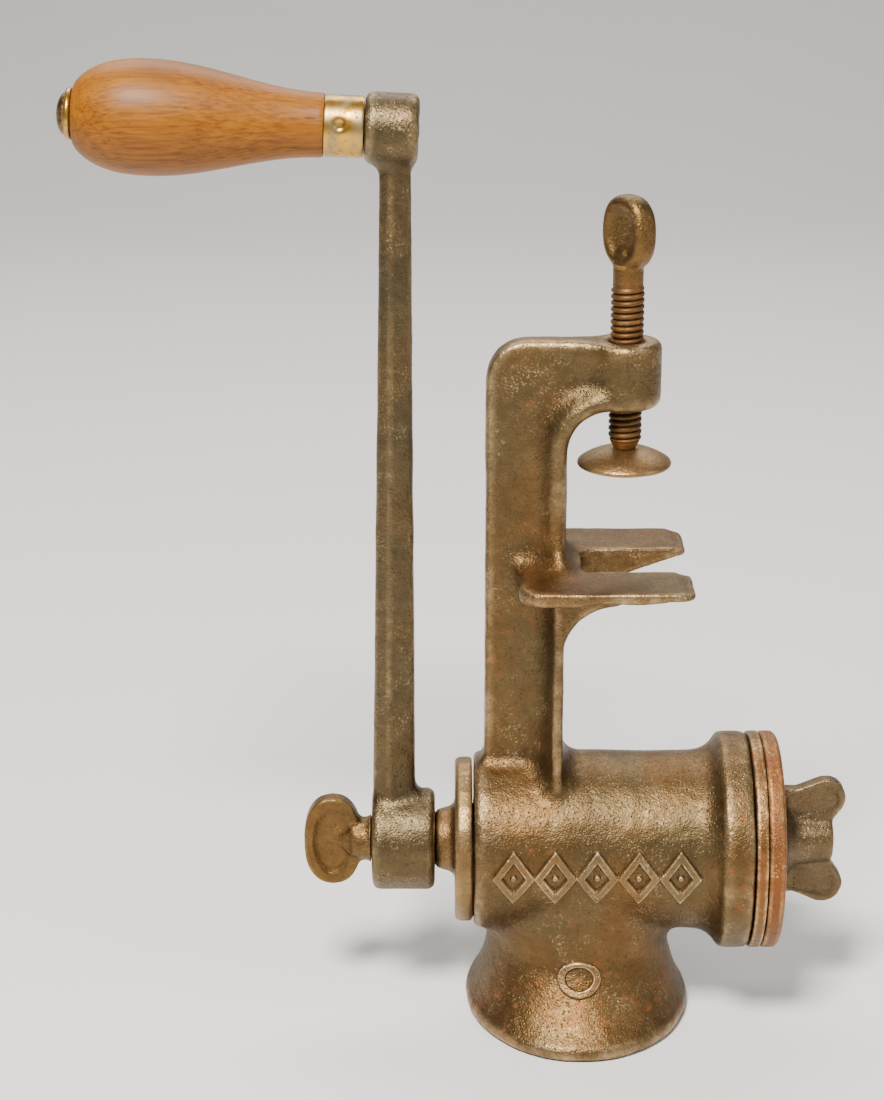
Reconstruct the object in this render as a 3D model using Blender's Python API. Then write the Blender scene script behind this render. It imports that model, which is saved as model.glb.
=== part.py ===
"""Hand crank meat grinder, standing upside down on the mouth of its hopper.

+Z is up and +X runs along the barrel from the crank to the cutting plates.
Shapes are built in metres with X = 0 on the rear face of the barrel, Y = 0 on the plane of
symmetry and Z = 0 on the surface that the hopper mouth stands on. The last step shifts the
whole assembly so that X = 0 and Y = 0 lie in the middle of its bounding box.
"""

import math

import bmesh
import bpy
from mathutils import Matrix, Vector

# Clearances
GAP = 0.0003  # between two pieces that touch or seat on each other
RUN_CLEARANCE = 0.0004  # radial, between a turning piece and its bore
OVERLAP = 0.0020  # how far a cutter reaches beyond the surface it cuts
SEAT_SHIFT = 0.0002  # keeps faces of united shapes from lying in one plane

# Barrel, the horizontal tube of the casting
AXIS_HEIGHT = 0.0529
BARREL_RADIUS = 0.0266
BARREL_WALL = 0.0036
BARREL_LENGTH = 0.0728
BARREL_REAR_ROUND = 0.0024
RIM_RADIUS = 0.0324
RIM_LENGTH = 0.0090
RIM_FILLET_LENGTH = 0.0080
RIM_EDGE = 0.0006

# Hopper, whose mouth is the foot here
HOPPER_X = 0.0317
MOUTH_HALF_X = 0.0339
MOUTH_HALF_Y = 0.0425
NECK_HALF_X = 0.0270
NECK_INSET_Y = 0.0008
NECK_HEIGHT = 0.0235
HOPPER_WALL = 0.0032
HOPPER_CURVE = 0.58  # share of the flare that steepens towards the mouth
BEAD_HEIGHT = 0.0046
BEAD_BULGE = 0.0012

# Bracket: a T-section bar, a fork that rests on the table edge and an arm that holds the screw
SPINE_X = 0.0032
WEB_HALF = 0.0042
FACE_X = 0.0265
RIB_THICKNESS = 0.0052
RIB_HALF = 0.0100
RIB_COVE = 0.0085
RIB_EDGE = 0.0009
RIB_FOOT_SHARE = 0.6  # share of the fork's thickness that the strip starts down in
FOOT_THICKNESS = 0.0034
FOOT_HALF = 0.0180
FOOT_NARROWING = (0.0006, 0.0030)  # at the barrel's crown and FOOT_RISE above it
FOOT_RISE = 0.0150
ARM_UNDERSIDE = 0.1882
ARM_DEPTH = 0.0196
ARM_CROWN = 0.0010
CORNER_RADIUS = 0.0116
BOSS_RADIUS = 0.0101
BOSS_TOP_EDGE = 0.0010
BOSS_FOOT_EDGE = 0.0024
FLARE_LENGTH = 0.0190
CLAMP_X = 0.0430
TINE_TOP = 0.1415
TINE_INNER = 0.0097
TINE_OUTER = 0.0300
TINE_TIP_X = 0.0627
TINE_TIP_DEPTH = 0.0025
FORK_BACK_DEPTH = 0.0048
TINE_ROOT_DEPTH = 0.0098
TINE_RIB = 0.0042
TINE_CORNER = 0.0030
TINE_LIP = 0.0040
TINE_LIP_DROP = 0.0007
FORK_BACK_X = 0.0125
FORK_CORNER = 0.0075
FORK_THROAT_X = 0.0335
FORK_COVE = 0.0050
GUSSET_RADIUS = 0.0150

# Feed screw, which turns in the barrel
THRUST_RADIUS = 0.0247
THRUST_THICKNESS = 0.0051
NECK_RADIUS = 0.0093
NECK_LENGTH = 0.0057
TANG_HALF = 0.0052
TANG_LENGTH = 0.0150
CORE_REAR_RADIUS = 0.0090
CORE_FRONT_RADIUS = 0.0125
FLIGHT_PITCH = 0.0245
FLIGHT_WIDTH = 0.34  # share of the pitch
FLIGHT_FLANK = 0.12  # share of the pitch that each sloping side takes
NOSE_HALF = 0.0064
STUD_RADIUS = 0.0042
STUD_DEPTH = 0.0200
STUD_PROUD = 0.0150
STUD_EDGE = 0.0008

# Cutting plates and their nut
PLATE_THICKNESS = 0.0034
PLATE_HOLES = 8
PLATE_HOLE_RADIUS = 0.0046
PLATE_HOLE_CIRCLE = 0.0175
KEY_RADIUS = 0.0013
KEY_CIRCLE = 0.0277
KEY_DEPTH = 0.0040
CUTTER_THICKNESS = 0.0049
CUTTER_EDGE = 0.0011
CUTTER_ARMS = 4
CUTTER_RIM_WIDTH = 0.0058
CUTTER_HUB_RADIUS = 0.0125
CUTTER_WINDOW_ANGLE = math.radians(54)
NUT_BASE_RADIUS = 0.0176
NUT_BASE_THICKNESS = 0.0012
NUT_HUB_RADIUS = 0.0066
NUT_LENGTH = 0.0170
NUT_WING_ROOT = 0.0168
NUT_WING_RADIUS = 0.0200
NUT_WING_REACH = 0.0204
NUT_WING_HALF = 0.0024
NUT_LOBE = 0.0060
NUT_LOBE_ARC = (105, -35)  # degrees, from its outer side round to the waist
NUT_FILLET = 0.0045
NUT_EDGE = 0.0010

# Crank
HUB_RADIUS = 0.01525
HUB_LENGTH = 0.0187
HUB_EDGE = 0.0012
HUB_WEB = 0.0034
CRANK_THROW = 0.2145
CRANK_FOOT_WIDTH = 0.0131
CRANK_HEAD_WIDTH = 0.0086
CRANK_FOOT_HALF = 0.0060
CRANK_HEAD_HALF = 0.0046
CRANK_RIDGE = 0.36  # share of the width
CRANK_BEVEL = 0.55  # share of the depth that the edges keep
CRANK_HEAD_OFFSET = 0.0009
HEAD_RADIUS = 0.0099
HEAD_LENGTH = 0.0149
HEAD_EDGE = 0.0010
HEAD_X = -0.02305

# Wing screw that holds the crank on the feed screw
SCREW_COLLAR_RADIUS = 0.0066
SCREW_COLLAR_LENGTH = 0.0060
SCREW_FLARE = 0.0010
SCREW_NECK = 0.0040
SCREW_SHANK_RADIUS = 0.0030
SCREW_REACH = 0.0140
BLADE_HALF_LENGTH = 0.0086
BLADE_HALF_HEIGHT = 0.0138
BLADE_HALF_THICKNESS = 0.0028

# Grip on the crank
GRIP_TILT = math.radians(2.6)
SPINDLE_RADIUS = 0.0030
SPINDLE_HEAD_RADIUS = 0.0043
SPINDLE_HEAD_LENGTH = 0.00255
FERRULE_RADIUS = 0.0086
FERRULE_WALL = 0.0006
FERRULE_LENGTH = 0.0107
GRIP_LENGTH = 0.0690
GRIP_NECK_RADIUS = 0.0089
GRIP_SWELL_RADIUS = 0.0160
GRIP_END_RADIUS = 0.0074
GRIP_WIDEST = 0.70  # share of its length, from the ferrule
GRIP_ROUNDING = (2.4, 0.65)  # powers of the curve that closes its free end
WASHER_RADIUS = 0.0071
WASHER_THICKNESS = 0.0011
WASHER_DOME = 0.0009

# Clamp screw and its swivel pad
THREAD_RADIUS = 0.00475
THREAD_DEPTH = 0.00095
THREAD_PITCH = 0.00183
THREAD_LENGTH = 0.0455
THREAD_CHAMFER = 0.0007
SHANK_LENGTH = 0.0050
SHANK_RADIUS = 0.0043
THUMB_HALF_WIDTH = 0.0086
THUMB_HALF_HEIGHT = 0.0106
THUMB_HALF_THICKNESS = 0.0037
THUMB_FACE = 0.86  # share of the outline that its flat faces keep
THUMB_EDGE = 0.7  # share of the thickness where the easing of its edge begins
THUMB_SINK = 0.0010
THUMB_TURN = math.radians(-52)
PAD_RADIUS = 0.0135
PAD_RIM = 0.0014
PAD_HEIGHT = 0.0060
PAD_CROWN_RADIUS = 0.0048
PAD_HOLLOW = 1.25  # power of the curve down from the crown
PAD_EDGE = 0.0004
PAD_OPEN = 0.7125  # share of its travel, from the fork up to the arm, that it stands open
PIVOT_RADIUS = 0.0022
PIVOT_HEAD_RADIUS = 0.0036
PIVOT_HEAD_LENGTH = 0.0014
PIVOT_RECESS = 0.0022

# Sides of round pieces
BIG = 72
MEDIUM = 32
SMALL = 20
OVAL_POWER = 0.85  # under 1 gives an oval fuller corners
THREAD_SIDES = 12
THREAD_STEPS = 3  # rings for each turn of a thread
FLIGHT_SIDES = 24
FLIGHT_STEP = 0.0020
ARC_STEPS = 6

# Places that follow from the sizes above
BORE_RADIUS = BARREL_RADIUS - BARREL_WALL
FRONT_X = BARREL_LENGTH + RIM_LENGTH
PLATE_X = FRONT_X + GAP
CUTTER_X = PLATE_X + PLATE_THICKNESS + GAP
NUT_X = CUTTER_X + CUTTER_THICKNESS + GAP
THRUST_X = -GAP - THRUST_THICKNESS
NECK_X = THRUST_X - NECK_LENGTH
HUB_X = NECK_X - GAP
HUB_REAR_X = HUB_X - HUB_LENGTH
ARM_TOP = ARM_UNDERSIDE + ARM_DEPTH
PAD_FACE = TINE_TOP + PAD_OPEN * (ARM_UNDERSIDE - TINE_TOP - PAD_HEIGHT)
PAD_TOP = PAD_FACE + PAD_HEIGHT

# Surface of each material: linear colour, metallic, roughness
CAST_IRON = ("cast_iron", (0.150, 0.105, 0.063), 0.85, 0.50)
DARK_IRON = ("dark_iron", (0.110, 0.078, 0.048), 0.85, 0.50)
RUSTY_STEEL = ("rusty_steel", (0.230, 0.110, 0.055), 0.70, 0.65)
THREAD_STEEL = ("thread_steel", (0.120, 0.075, 0.040), 0.80, 0.55)
BRIGHT_STEEL = ("bright_steel", (0.420, 0.330, 0.210), 0.95, 0.35)
GRIP_WOOD = ("grip_wood", (0.440, 0.200, 0.055), 0.0, 0.42)


def clear_scene():
    for thing in list(bpy.data.objects):
        bpy.data.objects.remove(thing, do_unlink=True)


def material(surface):
    name, colour, metallic, roughness = surface
    made = bpy.data.materials.get(name)
    if made is None:
        made = bpy.data.materials.new(name)
        made.use_nodes = True
        shader = made.node_tree.nodes["Principled BSDF"]
        shader.inputs["Base Color"].default_value = (*colour, 1.0)
        shader.inputs["Metallic"].default_value = metallic
        shader.inputs["Roughness"].default_value = roughness
        made.diffuse_color = (*colour, 1.0)
    return made


def empty(name, parent, location, turn_about_y=0.0):
    holder = bpy.data.objects.new(name, None)
    bpy.context.scene.collection.objects.link(holder)
    holder.empty_display_size = 0.01
    holder.parent = parent
    holder.location = location
    holder.rotation_euler = (0.0, turn_about_y, 0.0)
    return holder


def closed_mesh(name, rings, looped=False):
    """Skins rings of equally many points. It caps both ends, or joins them if looped."""
    grid = bmesh.new()
    rows = [[grid.verts.new(point) for point in ring] for ring in rings]
    pairs = list(zip(rows, rows[1:]))
    if looped:
        pairs.append((rows[-1], rows[0]))
    else:
        grid.faces.new(rows[0])
        grid.faces.new(rows[-1])
    for low, high in pairs:
        for i in range(len(low)):
            j = (i + 1) % len(low)
            grid.faces.new((low[i], low[j], high[j], high[i]))
    bmesh.ops.recalc_face_normals(grid, faces=grid.faces)
    mesh = bpy.data.meshes.new(name)
    grid.to_mesh(mesh)
    grid.free()
    mesh.shade_smooth()
    mesh.set_sharp_from_angle(angle=math.radians(35))
    return mesh


def add(name, mesh, parent, surface):
    piece = bpy.data.objects.new(name, mesh)
    bpy.context.scene.collection.objects.link(piece)
    piece.parent = parent
    mesh.materials.append(material(surface))
    return piece


def combine(piece, operation, name, mesh, location=(0.0, 0.0, 0.0)):
    """Unites or cuts piece with a helper that stays out of the finished object."""
    helper = bpy.data.objects.new(name, mesh)
    bpy.context.scene.collection.objects.link(helper)
    helper.parent = piece.parent
    helper.location = Vector(location) + piece.location
    helper.hide_render = True
    helper.display_type = "WIRE"
    step = piece.modifiers.new(name, "BOOLEAN")
    step.operation = operation
    step.object = helper


def point_on(axis, along, across, up):
    """A point given along an axis: +X with (Y, Z) across it, or +Z with (X, Y) across it."""
    return Vector((along, across, up)) if axis == "X" else Vector((across, up, along))


def swept(name, axis, stations, sides, radius, looped=False):
    """A solid whose distance from its axis is radius(station, angle)."""
    rings = []
    for station in stations:
        ring = []
        for i in range(sides):
            angle = 2 * math.pi * i / sides
            reach = radius(station, angle)
            across = reach * math.cos(angle)
            ring.append(point_on(axis, station[0], across, reach * math.sin(angle)))
        rings.append(ring)
    return closed_mesh(name, rings, looped)


def turned(name, axis, profile, sides):
    """A turned solid from (place along the axis, radius) pairs."""
    return swept(name, axis, profile, sides, lambda station, angle: station[1])


def tube(name, axis, profile, sides):
    """A turned ring from a closed profile that stays clear of the axis."""
    return swept(name, axis, profile, sides, lambda station, angle: station[1], looped=True)


def square_reach(half, angle):
    return half / max(abs(math.cos(angle)), abs(math.sin(angle)))


def square_bore(name, low, high, half):
    """A square cutter along X."""
    ends = [(low, half), (high, half)]
    return swept(name, "X", ends, FLIGHT_SIDES, lambda end, angle: square_reach(end[1], angle))


def prism(name, outline, half, low=None):
    """An (X, Z) outline as thick as half on both sides of Y = 0, or from low to half."""
    near = -half if low is None else low
    rings = [[Vector((x, y, z)) for x, z in outline] for y in (near, half)]
    return closed_mesh(name, rings)


def slab(name, outline, low, high):
    """An (X, Y) outline between two heights."""
    return closed_mesh(name, [[Vector((x, y, z)) for x, y in outline] for z in (low, high)])


def arc(centre_x, centre_z, radius, start, end, steps=ARC_STEPS):
    """Points on an arc. Angles are in degrees from +X towards +Z."""
    points = []
    for i in range(steps + 1):
        angle = math.radians(start + (end - start) * i / steps)
        points.append((centre_x + radius * math.cos(angle), centre_z + radius * math.sin(angle)))
    return points


def oval(half_x, half_z, steps, power=1.0, centre_x=0.0, centre_z=0.0):
    """A closed oval, squarer where power is under 1."""
    points = []
    for i in range(steps):
        angle = 2 * math.pi * i / steps
        side, rise = math.cos(angle), math.sin(angle)
        x = centre_x + half_x * math.copysign(abs(side) ** power, side)
        z = centre_z + half_z * math.copysign(abs(rise) ** power, rise)
        points.append((x, z))
    return points


def barrel_profile():
    """The outside of the barrel, with its rim and the cove that leads up to it."""
    fillet_start = BARREL_LENGTH - RIM_FILLET_LENGTH
    step_up = RIM_RADIUS - BARREL_RADIUS
    rear = arc(BARREL_REAR_ROUND, BARREL_RADIUS - BARREL_REAR_ROUND, BARREL_REAR_ROUND, 180, 90, 4)
    profile = list(rear)
    for i in range(ARC_STEPS + 1):
        angle = math.pi / 2 * i / ARC_STEPS
        along = fillet_start + RIM_FILLET_LENGTH * math.sin(angle)
        profile.append((along, RIM_RADIUS - step_up * math.cos(angle)))
    profile.append((FRONT_X - RIM_EDGE, RIM_RADIUS))
    profile.append((FRONT_X, RIM_RADIUS - RIM_EDGE))
    return profile


def hopper_section(height, inset):
    """Half sizes of the hopper along X and Y at a height, less inset. It flares to the mouth."""
    neck_half_y = BARREL_RADIUS - NECK_INSET_Y
    below_neck = max(0.0, NECK_HEIGHT - max(height, BEAD_HEIGHT))
    spread = below_neck / (NECK_HEIGHT - BEAD_HEIGHT)
    flare = (1 - HOPPER_CURVE) * spread + HOPPER_CURVE * spread**2
    half_x = NECK_HALF_X + (MOUTH_HALF_X - BEAD_BULGE - NECK_HALF_X) * flare
    half_y = neck_half_y + (MOUTH_HALF_Y - BEAD_BULGE - neck_half_y) * flare
    return half_x - inset, half_y - inset


def hopper_ring(height, inset):
    half_x, half_y = hopper_section(height, inset)
    outline = oval(half_x, half_y, BIG)
    return [Vector((HOPPER_X + x, y, height)) for x, y in outline]


def hopper_outside():
    """The flared wall, with a rounded bead round the mouth."""
    rings = []
    for i in range(ARC_STEPS + 1):
        turn = math.pi * i / ARC_STEPS
        height = BEAD_HEIGHT / 2 * (1 - math.cos(turn))
        rings.append(hopper_ring(height, -BEAD_BULGE * math.sin(turn)))
    flare_steps = 7
    for i in range(1, flare_steps + 1):
        height = BEAD_HEIGHT + (NECK_HEIGHT - BEAD_HEIGHT) * i / flare_steps
        rings.append(hopper_ring(height, 0.0))
    rings.append(hopper_ring(AXIS_HEIGHT, 0.0))
    return closed_mesh("add_hopper", rings)


def hopper_inside():
    """The passage from the mouth into the barrel."""
    flare_steps = 5
    heights = [NECK_HEIGHT * i / flare_steps for i in range(flare_steps + 1)]
    rings = [hopper_ring(height, HOPPER_WALL) for height in (-OVERLAP, *heights, AXIS_HEIGHT)]
    return closed_mesh("cut_hopper", rings)


def bracket_inner_edge():
    """The C-shaped inner edge of the bracket, from the barrel up and out along the arm."""
    corner_x = FACE_X + CORNER_RADIUS
    corner_z = ARM_UNDERSIDE - CORNER_RADIUS
    corner = arc(corner_x, corner_z, CORNER_RADIUS, 180, 90)
    return [(FACE_X, AXIS_HEIGHT), *corner, (CLAMP_X, ARM_UNDERSIDE)]


def web_outline():
    """The thin plate of the T-section, inside the bracket's whole outline."""
    outer_corner = arc(SPINE_X + CORNER_RADIUS, ARM_TOP - CORNER_RADIUS, CORNER_RADIUS, 90, 180)
    top = [(CLAMP_X, ARM_TOP - ARM_CROWN), (CLAMP_X - BOSS_RADIUS, ARM_TOP)]
    return [*bracket_inner_edge(), *top, *outer_corner, (SPINE_X, AXIS_HEIGHT)]


def rib_section(half, thickness):
    """Half of the strip's section: (depth behind its face, Y), with a cove that runs out on the web."""
    points = [(0.0, half - RIB_EDGE), (RIB_EDGE, half)]
    points += [(thickness - RIB_EDGE, half), (thickness, half - RIB_EDGE)]
    rise = half - RIB_EDGE - WEB_HALF
    for i in range(1, ARC_STEPS + 1):
        angle = math.pi / 2 * i / ARC_STEPS
        depth = thickness + RIB_COVE * (1 - math.cos(angle))
        points.append((depth, WEB_HALF + rise * (1 - math.sin(angle))))
    points.append((thickness + RIB_COVE, WEB_HALF / 2))
    return points


def rib_ring(x, z, toward_x, toward_z, half, thickness):
    """The strip's section at (x, z) on its face, reaching back along a direction."""
    side = rib_section(half, thickness)
    both = [*side, *[(depth, -y) for depth, y in reversed(side)]]
    return [Vector((x + depth * toward_x, y, z + depth * toward_z)) for depth, y in both]


def rib():
    """The strip of the T-section, swept along the bracket's inner edge."""
    start = TINE_TOP - RIB_FOOT_SHARE * TINE_TIP_DEPTH
    rings = [rib_ring(FACE_X, start, -1, 0, RIB_HALF, RIB_THICKNESS)]
    corner_x = FACE_X + CORNER_RADIUS
    corner_z = ARM_UNDERSIDE - CORNER_RADIUS
    for i in range(ARC_STEPS + 1):
        angle = math.pi - math.pi / 2 * i / ARC_STEPS
        out_x, out_z = math.cos(angle), math.sin(angle)
        x = corner_x + CORNER_RADIUS * out_x
        z = corner_z + CORNER_RADIUS * out_z
        rings.append(rib_ring(x, z, out_x, out_z, RIB_HALF, RIB_THICKNESS))
    rings.append(rib_ring(CLAMP_X, ARM_UNDERSIDE, 0, 1, RIB_HALF, RIB_THICKNESS))
    return closed_mesh("add_rib", rings)


def rib_foot():
    """Below the fork the strip is thinner, and it widens until it grows out of the barrel's sides."""
    sunk = AXIS_HEIGHT + math.sqrt(BARREL_RADIUS**2 - FOOT_HALF**2) - RIB_THICKNESS
    crown = AXIS_HEIGHT + BARREL_RADIUS
    at_crown, above = FOOT_NARROWING
    stages = (
        (sunk, FOOT_HALF),
        (crown, FOOT_HALF - at_crown),
        (crown + FOOT_RISE, FOOT_HALF - above),
        (TINE_TOP - TINE_TIP_DEPTH / 3, TINE_INNER + TINE_RIB + 3 * SEAT_SHIFT),
    )
    face = FACE_X - 2 * SEAT_SHIFT
    rings = [rib_ring(face, height, -1, 0, half, FOOT_THICKNESS) for height, half in stages]
    return closed_mesh("add_rib_foot", rings)


def arm_flare():
    """The arm widens in a hollow curve from the plate of the T-section to the boss."""
    side = []
    for i in range(ARC_STEPS + 1):
        share = i / ARC_STEPS
        x = CLAMP_X - FLARE_LENGTH * (1 - share)
        side.append((x, WEB_HALF + (BOSS_RADIUS - SEAT_SHIFT - WEB_HALF) * share**2))
    outline = [*side, *[(x, -y) for x, y in reversed(side)]]
    return slab("add_arm_flare", outline, ARM_UNDERSIDE + BOSS_FOOT_EDGE, ARM_TOP - 2 * SEAT_SHIFT)


def fork_outline():
    """The plate of the fork from above: two tines joined behind the strip, with round corners."""
    corner_y = TINE_OUTER - FORK_CORNER
    corner_x = FORK_BACK_X + FORK_CORNER
    back = arc(corner_x, corner_y, FORK_CORNER, 90, 180)
    tip_x = TINE_TIP_X - TINE_CORNER
    outer_tip = arc(tip_x, TINE_OUTER - TINE_CORNER, TINE_CORNER, 0, 90, 3)
    inner_tip = [(TINE_TIP_X, TINE_INNER + TINE_CORNER / 3), (TINE_TIP_X - TINE_CORNER / 3, TINE_INNER)]
    throat = arc(FORK_THROAT_X, 0.0, TINE_INNER, 90, 180)
    half = [*reversed(back), *reversed(outer_tip), *inner_tip, *throat]
    lower = [(x, -y) for x, y in reversed(half[:-1])]
    return [*half, *lower]


def fork_plate():
    """The fork's plate, flat on top and tapering underneath from the back to the tips."""
    outline = fork_outline()
    slope = (FORK_BACK_DEPTH - TINE_TIP_DEPTH) / (TINE_TIP_X - FORK_BACK_X)
    upper = [Vector((x, y, TINE_TOP)) for x, y in outline]
    lower = [Vector((x, y, TINE_TOP - TINE_TIP_DEPTH - slope * (TINE_TIP_X - x))) for x, y in outline]
    return closed_mesh("add_fork", [lower, upper])


def fork_rib(name, side):
    """The deep rib under a tine's inner edge. It tapers to the tip and coves down onto the bar."""
    centre_x = FACE_X - 3 * SEAT_SHIFT + GUSSET_RADIUS
    cove = arc(centre_x, TINE_TOP - TINE_ROOT_DEPTH - GUSSET_RADIUS, GUSSET_RADIUS, 90, 180)
    back = FACE_X - FOOT_THICKNESS / 2
    tip_x = TINE_TIP_X - TINE_CORNER
    high = TINE_TOP - TINE_TIP_DEPTH / 2
    tip = [(tip_x, high), (tip_x, TINE_TOP - TINE_TIP_DEPTH - 2 * SEAT_SHIFT)]
    outline = [(back, high), *tip, *cove, (back, cove[-1][1])]
    near = TINE_INNER + SEAT_SHIFT
    low, reach = (near, near + TINE_RIB) if side > 0 else (-near - TINE_RIB, -near)
    return prism(name, outline, reach, low)


def fork_cove():
    """The round inside corner between the strip and the top of the fork."""
    middle_x, middle_z = FACE_X + FORK_COVE - SEAT_SHIFT, TINE_TOP + FORK_COVE
    cove = arc(middle_x, middle_z, FORK_COVE + SEAT_SHIFT, 180, 270)
    back = FACE_X - RIB_THICKNESS / 2
    low = TINE_TOP - TINE_TIP_DEPTH / 2
    outline = [*cove, (FACE_X + FORK_COVE, low), (back, low), (back, middle_z)]
    return prism("add_fork_cove", outline, TINE_INNER + TINE_RIB)


def fork_lip():
    """The low step across the end of each tine."""
    lip_x = TINE_TIP_X - TINE_LIP
    beyond = TINE_TIP_X + OVERLAP
    low = TINE_TOP - TINE_LIP_DROP
    high = TINE_TOP + OVERLAP
    outline = [(lip_x, high), (lip_x, low), (beyond, low), (beyond, high)]
    return prism("cut_fork_lip", outline, TINE_OUTER + OVERLAP)


def clamp_boss():
    """The round end of the arm, with an eased lower edge."""
    low = ARM_UNDERSIDE - SEAT_SHIFT
    profile = []
    for degrees in (0, 30, 60, 90):
        turn = math.radians(degrees)
        height = low + BOSS_FOOT_EDGE * (1 - math.cos(turn))
        profile.append((height, BOSS_RADIUS - BOSS_FOOT_EDGE * (1 - math.sin(turn))))
    profile.append((ARM_TOP - BOSS_TOP_EDGE, BOSS_RADIUS))
    profile.append((ARM_TOP, BOSS_RADIUS - 3 * BOSS_TOP_EDGE))
    return turned("add_boss", "Z", profile, MEDIUM)


def bore(name, axis, low, high, radius, sides):
    """A round cutter that reaches a little beyond both ends."""
    return turned(name, axis, [(low - OVERLAP, radius), (high + OVERLAP, radius)], sides)


def body_casting(root):
    """One casting: barrel, hopper and clamp bracket."""
    mesh = turned("body_casting", "X", barrel_profile(), BIG)
    piece = add("body_casting", mesh, root, CAST_IRON)
    piece.location = (0.0, 0.0, AXIS_HEIGHT)
    ground = (0.0, 0.0, -AXIS_HEIGHT)
    clamp = (CLAMP_X, 0.0, -AXIS_HEIGHT)
    combine(piece, "UNION", "add_hopper", hopper_outside(), ground)
    combine(piece, "UNION", "add_web", prism("add_web", web_outline(), WEB_HALF), ground)
    combine(piece, "UNION", "add_rib", rib(), ground)
    combine(piece, "UNION", "add_rib_foot", rib_foot(), ground)
    combine(piece, "UNION", "add_fork", fork_plate(), ground)
    combine(piece, "UNION", "add_front_rib", fork_rib("add_front_rib", -1), ground)
    combine(piece, "UNION", "add_rear_rib", fork_rib("add_rear_rib", 1), ground)
    combine(piece, "UNION", "add_fork_cove", fork_cove(), ground)
    combine(piece, "UNION", "add_arm_flare", arm_flare(), ground)
    combine(piece, "UNION", "add_boss", clamp_boss(), clamp)
    combine(piece, "DIFFERENCE", "cut_fork_lip", fork_lip(), ground)
    combine(piece, "DIFFERENCE", "cut_hopper", hopper_inside(), ground)
    barrel_bore = bore("cut_bore", "X", 0.0, FRONT_X, BORE_RADIUS, BIG)
    combine(piece, "DIFFERENCE", "cut_bore", barrel_bore)
    thread_hole = bore("cut_thread", "Z", ARM_UNDERSIDE, ARM_TOP, THREAD_RADIUS + RUN_CLEARANCE, SMALL)
    combine(piece, "DIFFERENCE", "cut_thread", thread_hole, clamp)
    key_hole = bore("cut_key", "X", FRONT_X - KEY_DEPTH + OVERLAP, FRONT_X, KEY_RADIUS + GAP, THREAD_SIDES)
    combine(piece, "DIFFERENCE", "cut_key", key_hole, (0.0, 0.0, KEY_CIRCLE))
    return piece


def core_radius(along):
    """The core of the feed screw thickens towards the plates, which packs the food."""
    share = min(1.0, max(0.0, along / FRONT_X))
    return CORE_REAR_RADIUS + (CORE_FRONT_RADIUS - CORE_REAR_RADIUS) * share


def flight_reach(station, angle):
    """Distance from the axis to the surface of the feed screw at a place and an angle."""
    along, kind = station
    if kind == "tang":
        return square_reach(TANG_HALF, angle)
    if kind == "nose":
        return square_reach(NOSE_HALF, angle)
    if kind != "flight":
        return kind
    core = core_radius(along)
    tip = BORE_RADIUS - RUN_CLEARANCE
    phase = (along / FLIGHT_PITCH - angle / (2 * math.pi)) % 1.0
    distance = abs(phase - 0.5)
    rise = (FLIGHT_WIDTH / 2 + FLIGHT_FLANK / 2 - distance) / FLIGHT_FLANK
    return core + (tip - core) * min(1.0, max(0.0, rise))


def feed_screw(axle):
    """Worm, thrust disc, neck and the two squares, all one casting on the barrel's axis."""
    front = FRONT_X - GAP
    stations = [(NECK_X - TANG_LENGTH, "tang"), (NECK_X, "tang")]
    stations += [(NECK_X, NECK_RADIUS - 0.0006), (THRUST_X, NECK_RADIUS + 0.0010)]
    stations += [(THRUST_X, THRUST_RADIUS - 0.0010), (THRUST_X + 0.0010, THRUST_RADIUS)]
    stations += [(-GAP, THRUST_RADIUS), (-GAP, CORE_REAR_RADIUS)]
    steps = round(front / FLIGHT_STEP)
    stations += [(front * (i + 0.5) / steps, "flight") for i in range(steps)]
    stations += [(front, CORE_FRONT_RADIUS), (front, "nose"), (NUT_X - 2 * GAP, "nose")]
    mesh = swept("feed_screw", "X", stations, FLIGHT_SIDES, flight_reach)
    piece = add("feed_screw", mesh, axle, CAST_IRON)
    stud_hole = bore("cut_stud", "X", front - STUD_DEPTH + OVERLAP, NUT_X, STUD_RADIUS + GAP, SMALL)
    combine(piece, "DIFFERENCE", "cut_stud", stud_hole)
    rear_end = NECK_X - TANG_LENGTH
    bottom = rear_end + SCREW_REACH - OVERLAP
    tapped_hole = bore("cut_tapped", "X", rear_end, bottom, SCREW_SHANK_RADIUS + GAP, SMALL)
    combine(piece, "DIFFERENCE", "cut_tapped", tapped_hole)
    return piece


def front_stud(axle):
    start = FRONT_X - STUD_DEPTH
    end = NUT_X + STUD_PROUD
    profile = [(start, STUD_RADIUS - STUD_EDGE), (start + STUD_EDGE, STUD_RADIUS)]
    profile += [(end - STUD_EDGE, STUD_RADIUS), (end, STUD_RADIUS - STUD_EDGE)]
    return add("front_stud", turned("front_stud", "X", profile, SMALL), axle, THREAD_STEEL)


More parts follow.
